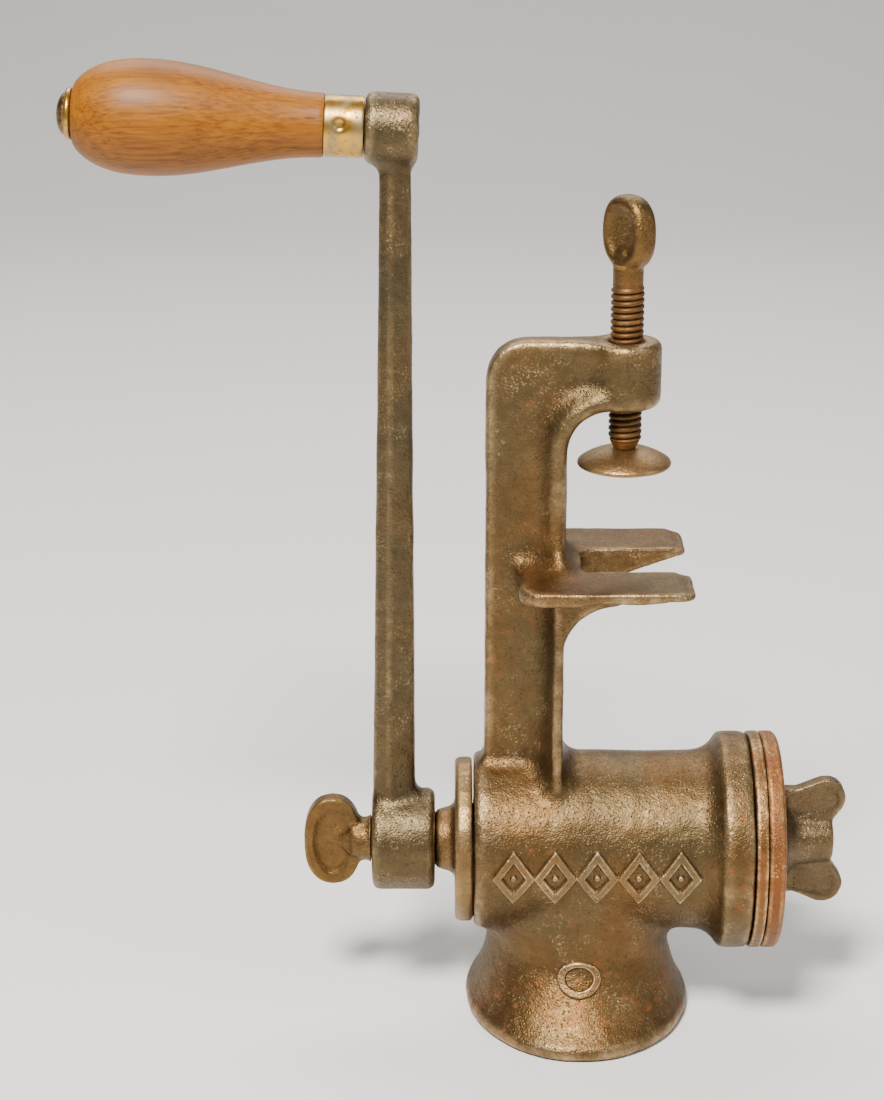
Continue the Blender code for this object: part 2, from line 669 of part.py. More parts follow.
def fixed_plate(root):
    """The perforated plate on the rim, which a pin keeps from turning."""
    clear_nose = NOSE_HALF * math.sqrt(2) + RUN_CLEARANCE
    end = PLATE_X + PLATE_THICKNESS
    profile = [(PLATE_X, clear_nose), (PLATE_X, RIM_RADIUS - RIM_EDGE / 2)]
    profile += [(PLATE_X + RIM_EDGE / 2, RIM_RADIUS), (end, RIM_RADIUS), (end, clear_nose)]
    piece = add("fixed_plate", tube("fixed_plate", "X", profile, BIG), root, RUSTY_STEEL)
    piece.location = (0.0, 0.0, AXIS_HEIGHT)
    for i in range(PLATE_HOLES):
        angle = 2 * math.pi * (i + 0.5) / PLATE_HOLES
        side = PLATE_HOLE_CIRCLE * math.cos(angle)
        rise = PLATE_HOLE_CIRCLE * math.sin(angle)
        name = f"cut_plate_hole_{i + 1}"
        hole = bore(name, "X", PLATE_X, end, PLATE_HOLE_RADIUS, THREAD_SIDES)
        combine(piece, "DIFFERENCE", name, hole, (0.0, side, rise))
    key_hole = bore("cut_plate_key", "X", PLATE_X, end, KEY_RADIUS + GAP, THREAD_SIDES)
    combine(piece, "DIFFERENCE", "cut_plate_key", key_hole, (0.0, 0.0, KEY_CIRCLE))
    return piece


def plate_key_pin(root):
    start = FRONT_X - KEY_DEPTH + GAP
    end = PLATE_X + PLATE_THICKNESS - GAP
    mesh = turned("plate_key_pin", "X", [(start, KEY_RADIUS), (end, KEY_RADIUS)], THREAD_SIDES)
    piece = add("plate_key_pin", mesh, root, THREAD_STEEL)
    piece.location = (0.0, 0.0, AXIS_HEIGHT + KEY_CIRCLE)
    return piece


def window(name, middle):
    """A sector between two arms of the cutter."""
    inner = CUTTER_HUB_RADIUS
    outer = RIM_RADIUS - CUTTER_RIM_WIDTH
    half = CUTTER_WINDOW_ANGLE / 2
    angles = [middle + half * (2 * i / ARC_STEPS - 1) for i in range(ARC_STEPS + 1)]
    outline = [(outer * math.cos(angle), outer * math.sin(angle)) for angle in angles]
    outline += [(inner * math.cos(angle), inner * math.sin(angle)) for angle in reversed(angles)]
    ends = (CUTTER_X - OVERLAP, CUTTER_X + CUTTER_THICKNESS + OVERLAP)
    return closed_mesh(name, [[Vector((x, y, z)) for y, z in outline] for x in ends])


def rotary_cutter(holder):
    """The knife disc: a rim and arms round a square hole. The holder's origin is on the axis."""
    end = CUTTER_X + CUTTER_THICKNESS
    profile = [(CUTTER_X, RIM_RADIUS - RIM_EDGE), (CUTTER_X + RIM_EDGE, RIM_RADIUS)]
    profile += [(end - CUTTER_EDGE, RIM_RADIUS), (end, RIM_RADIUS - CUTTER_EDGE)]
    mesh = turned("rotary_cutter", "X", profile, BIG)
    piece = add("rotary_cutter", mesh, holder, RUSTY_STEEL)
    for i in range(CUTTER_ARMS):
        name = f"cut_window_{i + 1}"
        middle = 2 * math.pi * (i + 0.5) / CUTTER_ARMS
        combine(piece, "DIFFERENCE", name, window(name, middle))
    hole = square_bore("cut_square", CUTTER_X - OVERLAP, end + OVERLAP, NOSE_HALF + GAP)
    combine(piece, "DIFFERENCE", "cut_square", hole)
    return piece


def nut_wings():
    """Outline of both wings: broad roots on the base, round lobes and a waist at the hub's end."""
    lobe_x = NUT_X + NUT_WING_REACH - NUT_LOBE
    lobe_z = NUT_WING_RADIUS - NUT_LOBE
    upper = [(NUT_X + NUT_BASE_THICKNESS / 2, NUT_WING_ROOT), (NUT_X + NUT_LOBE, NUT_WING_ROOT)]
    upper += arc(lobe_x, lobe_z, NUT_LOBE, *NUT_LOBE_ARC)
    upper.append((NUT_X + NUT_LENGTH - NUT_EDGE / 2, NUT_HUB_RADIUS))
    return [*upper, *[(x, -z) for x, z in reversed(upper)]]


def wing_nut(holder):
    end = NUT_X + NUT_LENGTH
    base = NUT_X + NUT_BASE_THICKNESS
    profile = [(NUT_X, NUT_BASE_RADIUS), (base, NUT_BASE_RADIUS - NUT_EDGE / 2)]
    profile.append((base + NUT_EDGE, NUT_HUB_RADIUS + NUT_FILLET))
    profile.append((base + NUT_FILLET, NUT_HUB_RADIUS + NUT_EDGE))
    profile += [(end - NUT_EDGE, NUT_HUB_RADIUS), (end, NUT_HUB_RADIUS - NUT_EDGE)]
    piece = add("wing_nut", turned("wing_nut", "X", profile, MEDIUM), holder, CAST_IRON)
    combine(piece, "UNION", "add_wings", prism("add_wings", nut_wings(), NUT_WING_HALF))
    combine(piece, "DIFFERENCE", "cut_nut", bore("cut_nut", "X", NUT_X, end, STUD_RADIUS + GAP, SMALL))
    return piece


def crank_section(height, middle_x, width, half):
    """A six-sided section of the crank with its ridge off centre."""
    left = middle_x - width / 2
    ridge = left + width * CRANK_RIDGE
    right = middle_x + width / 2
    edge = CRANK_BEVEL * half
    front = [(left, -edge), (ridge, -half), (right, -edge)]
    back = [(right, edge), (ridge, half), (left, edge)]
    return [Vector((x, y, height)) for x, y in front + back]


def crank_blade():
    foot_x = HUB_REAR_X + CRANK_FOOT_WIDTH / 2
    head_x = HEAD_X + CRANK_HEAD_OFFSET
    top = CRANK_THROW - HEAD_RADIUS / 2
    foot = crank_section(HUB_RADIUS / 2, foot_x, CRANK_FOOT_WIDTH - 2 * SEAT_SHIFT, CRANK_FOOT_HALF)
    head = crank_section(top, head_x, CRANK_HEAD_WIDTH, CRANK_HEAD_HALF)
    return closed_mesh("add_crank_blade", [foot, head])


def tilted(mesh):
    """Turns a mesh to the grip's tilt, about its own seat on the crank."""
    mesh.transform(Matrix.Rotation(GRIP_TILT, 4, "Y"))
    return mesh


def crank_head():
    """The boss that holds the grip's spindle, tilted with it."""
    end = HEAD_LENGTH / 2
    profile = [(-end, HEAD_RADIUS - HEAD_EDGE), (HEAD_EDGE - end, HEAD_RADIUS)]
    profile += [(end - HEAD_EDGE, HEAD_RADIUS), (end, HEAD_RADIUS - HEAD_EDGE)]
    return tilted(turned("add_crank_head", "X", profile, MEDIUM))


def crank_arm(holder):
    profile = [(HUB_REAR_X, HUB_RADIUS - HUB_EDGE), (HUB_REAR_X + HUB_EDGE, HUB_RADIUS)]
    profile += [(HUB_X - HUB_EDGE, HUB_RADIUS), (HUB_X, HUB_RADIUS - HUB_EDGE)]
    piece = add("crank_arm", turned("crank_arm", "X", profile, MEDIUM), holder, CAST_IRON)
    seat = (HEAD_X, 0.0, CRANK_THROW)
    combine(piece, "UNION", "add_crank_blade", crank_blade())
    combine(piece, "UNION", "add_crank_head", crank_head(), seat)
    socket = square_bore("cut_socket", HUB_REAR_X + HUB_WEB, HUB_X + OVERLAP, TANG_HALF + GAP)
    combine(piece, "DIFFERENCE", "cut_socket", socket)
    screw_hole = bore("cut_screw", "X", HUB_REAR_X, HUB_X, SCREW_SHANK_RADIUS + RUN_CLEARANCE, SMALL)
    combine(piece, "DIFFERENCE", "cut_screw", screw_hole)
    end = HEAD_LENGTH / 2
    rivet_hole = bore("cut_spindle", "X", -end, end, SPINDLE_RADIUS + GAP, SMALL)
    combine(piece, "DIFFERENCE", "cut_spindle", tilted(rivet_hole), seat)
    return piece


def crank_wing_screw(holder):
    """Collar and shank on the crank's axis, with an oval thumb blade."""
    face = HUB_REAR_X - GAP
    collar_end = face - SCREW_COLLAR_LENGTH
    tip = NECK_X - TANG_LENGTH + SCREW_REACH - 2 * GAP
    profile = [(collar_end - SCREW_NECK, SCREW_COLLAR_RADIUS / 2)]
    profile.append((collar_end, SCREW_COLLAR_RADIUS - SCREW_FLARE))
    profile += [(face - SCREW_FLARE, SCREW_COLLAR_RADIUS), (face, SCREW_COLLAR_RADIUS + SCREW_FLARE)]
    profile += [(face, SCREW_SHANK_RADIUS), (tip, SCREW_SHANK_RADIUS)]
    mesh = turned("crank_wing_screw", "X", profile, SMALL)
    piece = add("crank_wing_screw", mesh, holder, CAST_IRON)
    blade_x = collar_end + SCREW_NECK - SCREW_FLARE - BLADE_HALF_LENGTH
    outline = oval(BLADE_HALF_LENGTH, BLADE_HALF_HEIGHT, MEDIUM, OVAL_POWER, blade_x)
    combine(piece, "UNION", "add_blade", prism("add_blade", outline, BLADE_HALF_THICKNESS))
    return piece


def ferrule_start():
    """Where the ferrule begins, along the grip's axis from the middle of the boss."""
    return -HEAD_LENGTH / 2 - GAP


def grip_ferrule(seat):
    near = ferrule_start()
    far = near - FERRULE_LENGTH
    inner = FERRULE_RADIUS - FERRULE_WALL
    profile = [(far, inner), (far, FERRULE_RADIUS), (near, FERRULE_RADIUS), (near, inner)]
    return add("grip_ferrule", tube("grip_ferrule", "X", profile, MEDIUM), seat, BRIGHT_STEEL)


def grip_swell(share):
    """Radius of the turned grip from the ferrule (0) to the free end (1)."""
    if share < GRIP_WIDEST:
        rise = (1 - math.cos(math.pi * share / GRIP_WIDEST)) / 2
        return GRIP_NECK_RADIUS + (GRIP_SWELL_RADIUS - GRIP_NECK_RADIUS) * rise
    inner, outer = GRIP_ROUNDING
    fall = (share - GRIP_WIDEST) / (1 - GRIP_WIDEST)
    return GRIP_END_RADIUS + (GRIP_SWELL_RADIUS - GRIP_END_RADIUS) * max(0.0, 1 - fall**inner) ** outer


def grip_shares():
    """Stations along the grip, closer together on the round end."""
    return [math.sin(math.pi / 2 * i / SMALL) for i in range(SMALL + 1)]


def wooden_grip(seat):
    """A turned pear shape with a neck inside the ferrule and a bore for the spindle."""
    near = ferrule_start() - GAP
    shoulder = ferrule_start() - FERRULE_LENGTH - GAP
    neck = FERRULE_RADIUS - FERRULE_WALL - GAP
    bore = SPINDLE_RADIUS + RUN_CLEARANCE
    far = shoulder - GRIP_LENGTH
    profile = [(near, bore), (near, neck), (shoulder, neck)]
    profile += [(shoulder - GRIP_LENGTH * share, grip_swell(share)) for share in grip_shares()]
    profile.append((far, bore))
    return add("wooden_grip", tube("wooden_grip", "X", profile, MEDIUM), seat, GRIP_WOOD)


def grip_end():
    return ferrule_start() - FERRULE_LENGTH - GAP - GRIP_LENGTH


def grip_end_washer(seat):
    near = grip_end() - GAP
    far = near - WASHER_THICKNESS
    bore = SPINDLE_RADIUS + GAP
    profile = [(near, bore), (near, WASHER_RADIUS), (near - WASHER_THICKNESS / 2, WASHER_RADIUS)]
    profile += [(far - WASHER_DOME / 2, WASHER_RADIUS / 2 + bore / 2), (far - WASHER_DOME, bore)]
    return add("grip_end_washer", tube("grip_end_washer", "X", profile, MEDIUM), seat, BRIGHT_STEEL)


def grip_spindle(seat):
    """The rivet that the grip turns on, peened over the end washer."""
    head = grip_end() - GAP - WASHER_THICKNESS - WASHER_DOME - GAP
    profile = []
    for degrees in (20, 45, 70, 90):
        turn = math.radians(degrees)
        along = head - SPINDLE_HEAD_LENGTH * math.cos(turn)
        profile.append((along, SPINDLE_HEAD_RADIUS * math.sin(turn)))
    profile += [(head, SPINDLE_RADIUS), (HEAD_LENGTH / 2 - GAP, SPINDLE_RADIUS)]
    return add("grip_spindle", turned("grip_spindle", "X", profile, SMALL), seat, THREAD_STEEL)


def thread_reach(station, angle):
    """A coarse thread: the surface rises and falls once in each pitch along a helix."""
    along, plain = station
    if plain:
        return plain
    phase = (along / THREAD_PITCH - angle / (2 * math.pi)) % 1.0
    return THREAD_RADIUS - THREAD_DEPTH * abs(2 * phase - 1)


def clamp_screw(holder):
    """Thumb piece, shank, thread and the pivot that carries the pad, from Z = 0 at the pad's crown."""
    head = PIVOT_RECESS - PAD_HEIGHT - GAP
    root = THREAD_RADIUS - THREAD_DEPTH
    stations = [(head - PIVOT_HEAD_LENGTH, PIVOT_HEAD_RADIUS - THREAD_CHAMFER), (head, PIVOT_HEAD_RADIUS)]
    stations += [(head, PIVOT_RADIUS), (GAP, PIVOT_RADIUS)]
    stations += [(GAP, root - THREAD_CHAMFER), (GAP + THREAD_CHAMFER, root)]
    rings = round(THREAD_LENGTH / THREAD_PITCH * THREAD_STEPS)
    first = GAP + 2 * THREAD_CHAMFER
    stations += [(first + THREAD_LENGTH * i / rings, None) for i in range(rings)]
    shank = first + THREAD_LENGTH
    top = shank + SHANK_LENGTH
    stations += [(shank, SHANK_RADIUS), (top, SHANK_RADIUS)]
    stations.append((top + THUMB_HALF_HEIGHT / 3, SHANK_RADIUS - THREAD_CHAMFER))
    mesh = swept("clamp_screw", "Z", stations, THREAD_SIDES, thread_reach)
    piece = add("clamp_screw", mesh, holder, THREAD_STEEL)
    thumb_z = top - THUMB_SINK + THUMB_HALF_HEIGHT
    combine(piece, "UNION", "add_thumb", thumb_piece(), (0.0, 0.0, thumb_z))
    return piece


def thumb_piece():
    """An oval slab with eased edges, turned about the screw's axis."""
    rings = []
    edge = THUMB_EDGE
    for side, share in ((-1.0, THUMB_FACE), (-edge, 1.0), (edge, 1.0), (1.0, THUMB_FACE)):
        outline = oval(THUMB_HALF_WIDTH * share, THUMB_HALF_HEIGHT * share, MEDIUM, OVAL_POWER)
        rings.append([Vector((x, side * THUMB_HALF_THICKNESS, z)) for x, z in outline])
    mesh = closed_mesh("add_thumb", rings)
    mesh.transform(Matrix.Rotation(THUMB_TURN, 4, "Z"))
    return mesh


def clamp_pad(holder):
    """A domed disc that swivels on the screw's pivot. Z = 0 is at its crown."""
    face = -PAD_HEIGHT
    hole = PIVOT_RADIUS + GAP
    recess = PIVOT_HEAD_RADIUS + GAP
    profile = [(0.0, hole), (0.0, PAD_CROWN_RADIUS)]
    slope_steps = 5
    for i in range(1, slope_steps + 1):
        share = i / slope_steps
        drop = (PAD_HEIGHT - PAD_RIM) * (1 - (1 - share) ** PAD_HOLLOW)
        profile.append((-drop, PAD_CROWN_RADIUS + (PAD_RADIUS - PAD_EDGE - PAD_CROWN_RADIUS) * share))
    profile += [(face + PAD_RIM / 2, PAD_RADIUS), (face, PAD_RADIUS - PAD_EDGE), (face, recess)]
    profile += [(face + PIVOT_RECESS, recess), (face + PIVOT_RECESS, hole)]
    return add("clamp_pad", tube("clamp_pad", "Z", profile, MEDIUM), holder, DARK_IRON)


def centre_on_base(root, pieces):
    """Shifts the root so that the bounding box is centred on X = 0 and Y = 0 and stands on Z = 0."""
    bpy.context.view_layer.update()
    graph = bpy.context.evaluated_depsgraph_get()
    points = []
    for piece in pieces:
        shown = piece.evaluated_get(graph)
        points += [shown.matrix_world @ vertex.co for vertex in shown.data.vertices]
    low = [min(point[i] for point in points) for i in range(3)]
    high = [max(point[i] for point in points) for i in range(3)]
    root.location = (-(low[0] + high[0]) / 2, -(low[1] + high[1]) / 2, -low[2])


def main():
    clear_scene()
    bpy.context.scene.unit_settings.scale_length = 1.0
    root = empty("meat_grinder", None, (0.0, 0.0, 0.0))
    axle = empty("crank_axis", root, (0.0, 0.0, AXIS_HEIGHT))
    cutter_holder = empty("cutter_axis", axle, (0.0, 0.0, 0.0))
    nut_holder = empty("wing_nut_axis", cutter_holder, (0.0, 0.0, 0.0))
    crank_holder = empty("crank_holder", axle, (0.0, 0.0, 0.0))
    seat = empty("grip_axis", crank_holder, (HEAD_X, 0.0, CRANK_THROW), GRIP_TILT)
    clamp_axis = empty("clamp_axis", root, (CLAMP_X, 0.0, PAD_TOP))
    pieces = [
        body_casting(root),
        feed_screw(axle),
        front_stud(axle),
        fixed_plate(root),
        plate_key_pin(root),
        rotary_cutter(cutter_holder),
        wing_nut(nut_holder),
        crank_arm(crank_holder),
        crank_wing_screw(crank_holder),
        grip_spindle(seat),
        wooden_grip(seat),
        grip_ferrule(seat),
        grip_end_washer(seat),
        clamp_screw(clamp_axis),
        clamp_pad(clamp_axis),
    ]
    centre_on_base(root, pieces)


main()
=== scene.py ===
import math

import bmesh
import bpy
import numpy as np
from mathutils import Matrix, Vector, noise
from mathutils.bvhtree import BVHTree


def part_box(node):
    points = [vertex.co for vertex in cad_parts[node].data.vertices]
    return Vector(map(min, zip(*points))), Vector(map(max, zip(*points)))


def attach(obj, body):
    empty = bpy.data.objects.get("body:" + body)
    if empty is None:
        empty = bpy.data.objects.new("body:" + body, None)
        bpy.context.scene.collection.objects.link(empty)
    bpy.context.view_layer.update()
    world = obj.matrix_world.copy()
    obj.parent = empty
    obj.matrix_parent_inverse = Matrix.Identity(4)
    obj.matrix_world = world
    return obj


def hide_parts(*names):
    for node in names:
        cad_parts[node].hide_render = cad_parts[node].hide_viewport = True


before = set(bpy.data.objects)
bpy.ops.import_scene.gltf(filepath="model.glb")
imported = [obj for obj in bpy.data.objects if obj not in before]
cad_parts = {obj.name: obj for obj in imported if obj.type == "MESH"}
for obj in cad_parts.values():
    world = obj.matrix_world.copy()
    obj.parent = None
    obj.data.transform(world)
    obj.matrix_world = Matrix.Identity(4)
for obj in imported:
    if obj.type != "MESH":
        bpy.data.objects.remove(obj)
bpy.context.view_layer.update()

MM = 0.001
WELD = 0.002 * MM  # points nearer than this are one


# ---------------------------------------------------------------- meshes

def link(name, data):
    obj = bpy.data.objects.new(name, data)
    bpy.context.scene.collection.objects.link(obj)
    return obj


def bake_modifiers(obj):
    """Applies the modifiers to the object's mesh."""
    bpy.context.view_layer.update()
    graph = bpy.context.evaluated_depsgraph_get()
    made = bpy.data.meshes.new_from_object(obj.evaluated_get(graph))
    old = obj.data
    obj.modifiers.clear()
    obj.data = made
    bpy.data.meshes.remove(old)


def welded_copy(node, name):
    """A closed copy of a CAD node's mesh, with the points that its faces share joined."""
    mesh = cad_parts[node].data.copy()
    mesh.materials.clear()
    grid = bmesh.new()
    grid.from_mesh(mesh)
    bmesh.ops.remove_doubles(grid, verts=grid.verts, dist=WELD)
    grid.to_mesh(mesh)
    grid.free()
    return link(name, mesh)


def remesh(obj, voxel):
    step = obj.modifiers.new("remesh", "REMESH")
    step.mode = "VOXEL"
    step.voxel_size = voxel
    step.use_smooth_shade = True


def swell(obj, by):
    step = obj.modifiers.new("swell", "DISPLACE")
    step.strength = by
    step.mid_level = 0.0


def smooth(obj, repeats):
    step = obj.modifiers.new("smooth", "SMOOTH")
    step.factor = 0.5
    step.iterations = repeats


def close_and_ease(obj, voxel, steps, repeats):
    """Remeshes, then swells by each step in turn with a new remesh after it, then smooths."""
    remesh(obj, voxel)
    for by in steps:
        if by:
            swell(obj, by)
            remesh(obj, voxel)
    smooth(obj, repeats)
    bake_modifiers(obj)


def cast_copy(node, name, voxel, fillet, repeats, ease=0.0):
    """The CAD shape as a casting: inside corners filled to a radius and outside corners eased."""
    obj = welded_copy(node, name)
    close_and_ease(obj, voxel, (fillet, -fillet, -ease, ease), repeats)
    return obj


def coordinates(mesh):
    co = np.zeros(len(mesh.vertices) * 3, np.float32)
    mesh.vertices.foreach_get("co", co)
    return co.reshape(-1, 3).astype(float)


def set_coordinates(mesh, co):
    mesh.vertices.foreach_set("co", co.astype(np.float32).ravel())
    mesh.update()


def normals(mesh):
    out = np.zeros(len(mesh.vertices) * 3, np.float32)
    mesh.vertices.foreach_get("normal", out)
    return out.reshape(-1, 3).astype(float)


def neighbour_mean(mesh, values, repeats):
    """Values averaged with those of the neighbouring vertices, over and over."""
    edges = np.zeros(len(mesh.edges) * 2, np.int32)
    mesh.edges.foreach_get("vertices", edges)
    a, b = edges.reshape(-1, 2).T
    count = np.bincount(a, minlength=len(mesh.vertices)) + np.bincount(b, minlength=len(mesh.vertices))
    count = np.maximum(count, 1)
    flat = values.reshape(len(values), -1).copy()
    for _ in range(repeats):
        total = np.zeros_like(flat)
        for i in range(flat.shape[1]):
            total[:, i] = np.bincount(a, flat[b, i], len(flat)) + np.bincount(b, flat[a, i], len(flat))
        flat = 0.5 * flat + 0.5 * total / count[:, None]
    return flat.reshape(values.shape)


def mark_wear_and_shade(obj, repeats, scale):
    """Stores how far each place stands proud (above 0.5) or lies in a corner (below 0.5), for rubbed
    wear on the proud places and painted shade in the corners.

    More repeats look at a wider stretch of the surface, and scale is the height that counts in full.
    """
    mesh = obj.data
    co = coordinates(mesh)
    proud = ((co - neighbour_mean(mesh, co, repeats)) * normals(mesh)).sum(axis=1)
    value = np.clip(0.5 + 0.5 * proud / scale, 0.0, 1.0)
    value = neighbour_mean(mesh, value, 1)
    layer = mesh.attributes.new("wear_and_shade", "FLOAT", "POINT")
    layer.data.foreach_set("value", value.astype(np.float32))


# ---------------------------------------------------------------- materials

# The colour sockets of a Mix node, whose names repeat those of its other kinds.
MIX_FIRST, MIX_SECOND, MIX_RESULT = 6, 7, 2


class Nodes:
    """Shorthand for building a material's node tree."""

    def __init__(self, name):
        self.material = bpy.data.materials.new(name)
        self.material.use_nodes = True
        self.tree = self.material.node_tree
        self.shader = self.tree.nodes["Principled BSDF"]
        self.object = self.make("ShaderNodeTexCoord").outputs["Object"]

    def make(self, kind, **settings):
        node = self.tree.nodes.new(kind)
        for key, value in settings.items():
            setattr(node, key, value)
        return node

    def put(self, socket, value):
        """Links another node's output to the socket, or sets a constant on the socket itself."""
        if isinstance(value, bpy.types.NodeSocket):
            self.tree.links.new(value, socket)
        else:
            socket.default_value = value

    def noise(self, scale, detail=6.0, rough=0.6, vector=None, distortion=0.0):
        """Cloudy noise, where scale is about how many lumps there are to the metre."""
        node = self.make("ShaderNodeTexNoise")
        self.put(node.inputs["Vector"], self.object if vector is None else vector)
        node.inputs["Scale"].default_value = scale
        node.inputs["Detail"].default_value = detail
        node.inputs["Roughness"].default_value = rough
        node.inputs["Distortion"].default_value = distortion
        return node.outputs["Fac"]

    def cells(self, scale, vector=None):
        node = self.make("ShaderNodeTexVoronoi")
        self.put(node.inputs["Vector"], self.object if vector is None else vector)
        node.inputs["Scale"].default_value = scale
        return node.outputs["Distance"]

    def stretch(self, scale):
        node = self.make("ShaderNodeMapping")
        self.put(node.inputs["Vector"], self.object)
        node.inputs["Scale"].default_value = scale
        return node.outputs["Vector"]

    def remap(self, value, low, high, to_low=0.0, to_high=1.0):
        node = self.make("ShaderNodeMapRange")
        self.put(node.inputs["Value"], value)
        node.inputs["From Min"].default_value = low
        node.inputs["From Max"].default_value = high
        node.inputs["To Min"].default_value = to_low
        node.inputs["To Max"].default_value = to_high
        return node.outputs["Result"]

    def math(self, operation, a, b):
        node = self.make("ShaderNodeMath", operation=operation)
        self.put(node.inputs[0], a)
        self.put(node.inputs[1], b)
        return node.outputs["Value"]

    def mix(self, share, a, b):
        node = self.make("ShaderNodeMix", data_type="RGBA")
        self.put(node.inputs["Factor"], share)
        self.put(node.inputs[MIX_FIRST], a)
        self.put(node.inputs[MIX_SECOND], b)
        return node.outputs[MIX_RESULT]

    def attribute(self, name):
        return self.make("ShaderNodeAttribute", attribute_name=name).outputs["Fac"]

    def bump(self, height, distance, strength, before=None):
        node = self.make("ShaderNodeBump")
        self.put(node.inputs["Height"], height)
        node.inputs["Distance"].default_value = distance
        node.inputs["Strength"].default_value = strength
        if before is not None:
            self.put(node.inputs["Normal"], before)
        return node.outputs["Normal"]

    def finish(self, colour, metallic, roughness, normal):
        self.put(self.shader.inputs["Base Color"], colour)
        self.put(self.shader.inputs["Metallic"], metallic)
        self.put(self.shader.inputs["Roughness"], roughness)
        self.put(self.shader.inputs["Normal"], normal)
        return self.material


def rgb(red, green, blue):
    """An sRGB colour from 0 to 255 as linear RGBA."""
    def linear(value):
        value /= 255
        return value / 12.92 if value <= 0.04045 else ((value + 0.055) / 1.055) ** 2.4
    return (linear(red), linear(green), linear(blue), 1.0)


def cast_iron(
    name, base, warm, dark, light, rust, rust_share, grain=1.0, rough=0.40, metal=0.9, rub_share=0.45
):
    """Old oiled cast iron: sand grain, brown patina, rust freckles, painted glints, painted shade in
    corners and edges rubbed bright.
    """
    n = Nodes(name)
    cloud = n.noise(38.0, 4.0, 0.55)
    patch = n.noise(150.0, 5.0, 0.6)
    mottle = n.noise(620.0, 5.0, 0.65)
    sand = n.noise(1500.0, 3.0, 0.6)
    pits = n.cells(900.0)

    # patina
    colour = n.mix(n.remap(cloud, 0.38, 0.64), base, warm)
    colour = n.mix(n.remap(patch, 0.42, 0.72, 0.0, 0.35), colour, dark)

    # painted glints: bright flecks in the sand grain, away from the dark patches, standing in for the
    # sparkle of its facets
    glint_patches = n.remap(n.noise(64.0, 4.0, 0.6), 0.46, 0.62, 0.12, 1.0)
    glint_patches = n.math("MULTIPLY", n.remap(patch, 0.56, 0.36), glint_patches)
    painted_glint = n.math("MULTIPLY", n.remap(sand, 0.55, 0.67), glint_patches)
    colour = n.mix(n.math("MULTIPLY", painted_glint, 0.9), colour, light)
    colour = n.mix(n.remap(mottle, 0.42, 0.30, 0.0, 0.5), colour, dark)

    # rust
    rusty = n.remap(n.noise(41.0, 3.0), 0.42, 0.60)
    freckle = n.math("MULTIPLY", n.remap(n.noise(330.0, 6.0, 0.7), 0.55, 0.68), rusty)
    freckle = n.math("MINIMUM", n.math("MULTIPLY", freckle, rust_share * 2), 0.9)
    colour = n.mix(freckle, colour, rust)

    # painted shade darkening the corners and hollows, and rubbed edges
    wear_and_shade = n.attribute("wear_and_shade")
    # painted shade: the dark colour is laid where the surface lies in a corner
    colour = n.mix(n.remap(wear_and_shade, 0.42, 0.10, 0.0, 0.75), colour, dark)
    scuffed = n.remap(n.noise(92.0, 5.0, 0.7), 0.44, 0.60, 0.25, 1.0)
    scratched = n.remap(n.noise(520.0, 4.0, 0.7), 0.34, 0.60, 0.35, 1.0)
    rub = n.math("MULTIPLY", n.remap(wear_and_shade, 0.60, 0.95, 0.0, rub_share), scuffed)
    rub = n.math("MULTIPLY", rub, scratched)
    colour = n.mix(rub, colour, light)

    gloss = n.remap(mottle, 0.3, 0.7, rough + 0.09, rough - 0.06)
    gloss = n.math("SUBTRACT", gloss, n.math("MULTIPLY", rub, 0.12))
    gloss = n.math("ADD", gloss, n.math("MULTIPLY", freckle, 0.25))
    metallic = n.math("SUBTRACT", metal, n.math("MULTIPLY", freckle, 0.5))

    height = n.math("ADD", n.math("MULTIPLY", sand, 0.6), n.math("MULTIPLY", mottle, 0.42))
    height = n.math("SUBTRACT", height, n.remap(pits, 0.0, 0.34, 0.45, 0.0))
    lumps = n.bump(n.noise(150.0, 4.0, 0.6), 0.9 * MM * grain, 0.5)
    return n.finish(colour, metallic, gloss, n.bump(height, 0.36 * MM * grain, 0.75, lumps))


def tinned_brass():
    """Thin yellow brass with its tin plating worn to grey streaks and brown specks, and painted shade
    in its dents.
    """
    n = Nodes("tinned_brass")
    streak = n.noise(260.0, 5.0, 0.6, n.stretch((1.0, 1.0, 0.35)))
    tone = n.mix(n.remap(streak, 0.42, 0.62), rgb(196, 148, 62), rgb(160, 136, 92))
    stain = n.remap(n.noise(620.0, 6.0, 0.7), 0.56, 0.68, 0.0, 0.8)
    tone = n.mix(stain, tone, rgb(84, 56, 26))
    # painted shade: near-black brown laid into dents and hollows, such as the ferrule's dimple
    tone = n.mix(n.remap(n.attribute("wear_and_shade"), 0.46, 0.10, 0.0, 0.95), tone, rgb(44, 28, 14))
    rough = n.remap(streak, 0.35, 0.65, 0.22, 0.42)
    rough = n.math("ADD", rough, n.math("MULTIPLY", stain, 0.3))
    return n.finish(tone, 0.9, rough, n.bump(streak, 0.25 * MM, 0.5))


def dull_steel():
    """A hand-closed steel rivet, browned with fine scratches."""
    n = Nodes("rivet_steel")
    scratch = n.noise(900.0, 4.0, 0.6, n.stretch((1.0, 0.2, 1.0)))
    tone = n.mix(n.remap(scratch, 0.40, 0.62), rgb(72, 50, 28), rgb(150, 116, 70))
    rough = n.remap(scratch, 0.3, 0.7, 0.30, 0.5)
    return n.finish(tone, 0.85, rough, n.bump(scratch, 0.2 * MM, 0.6))


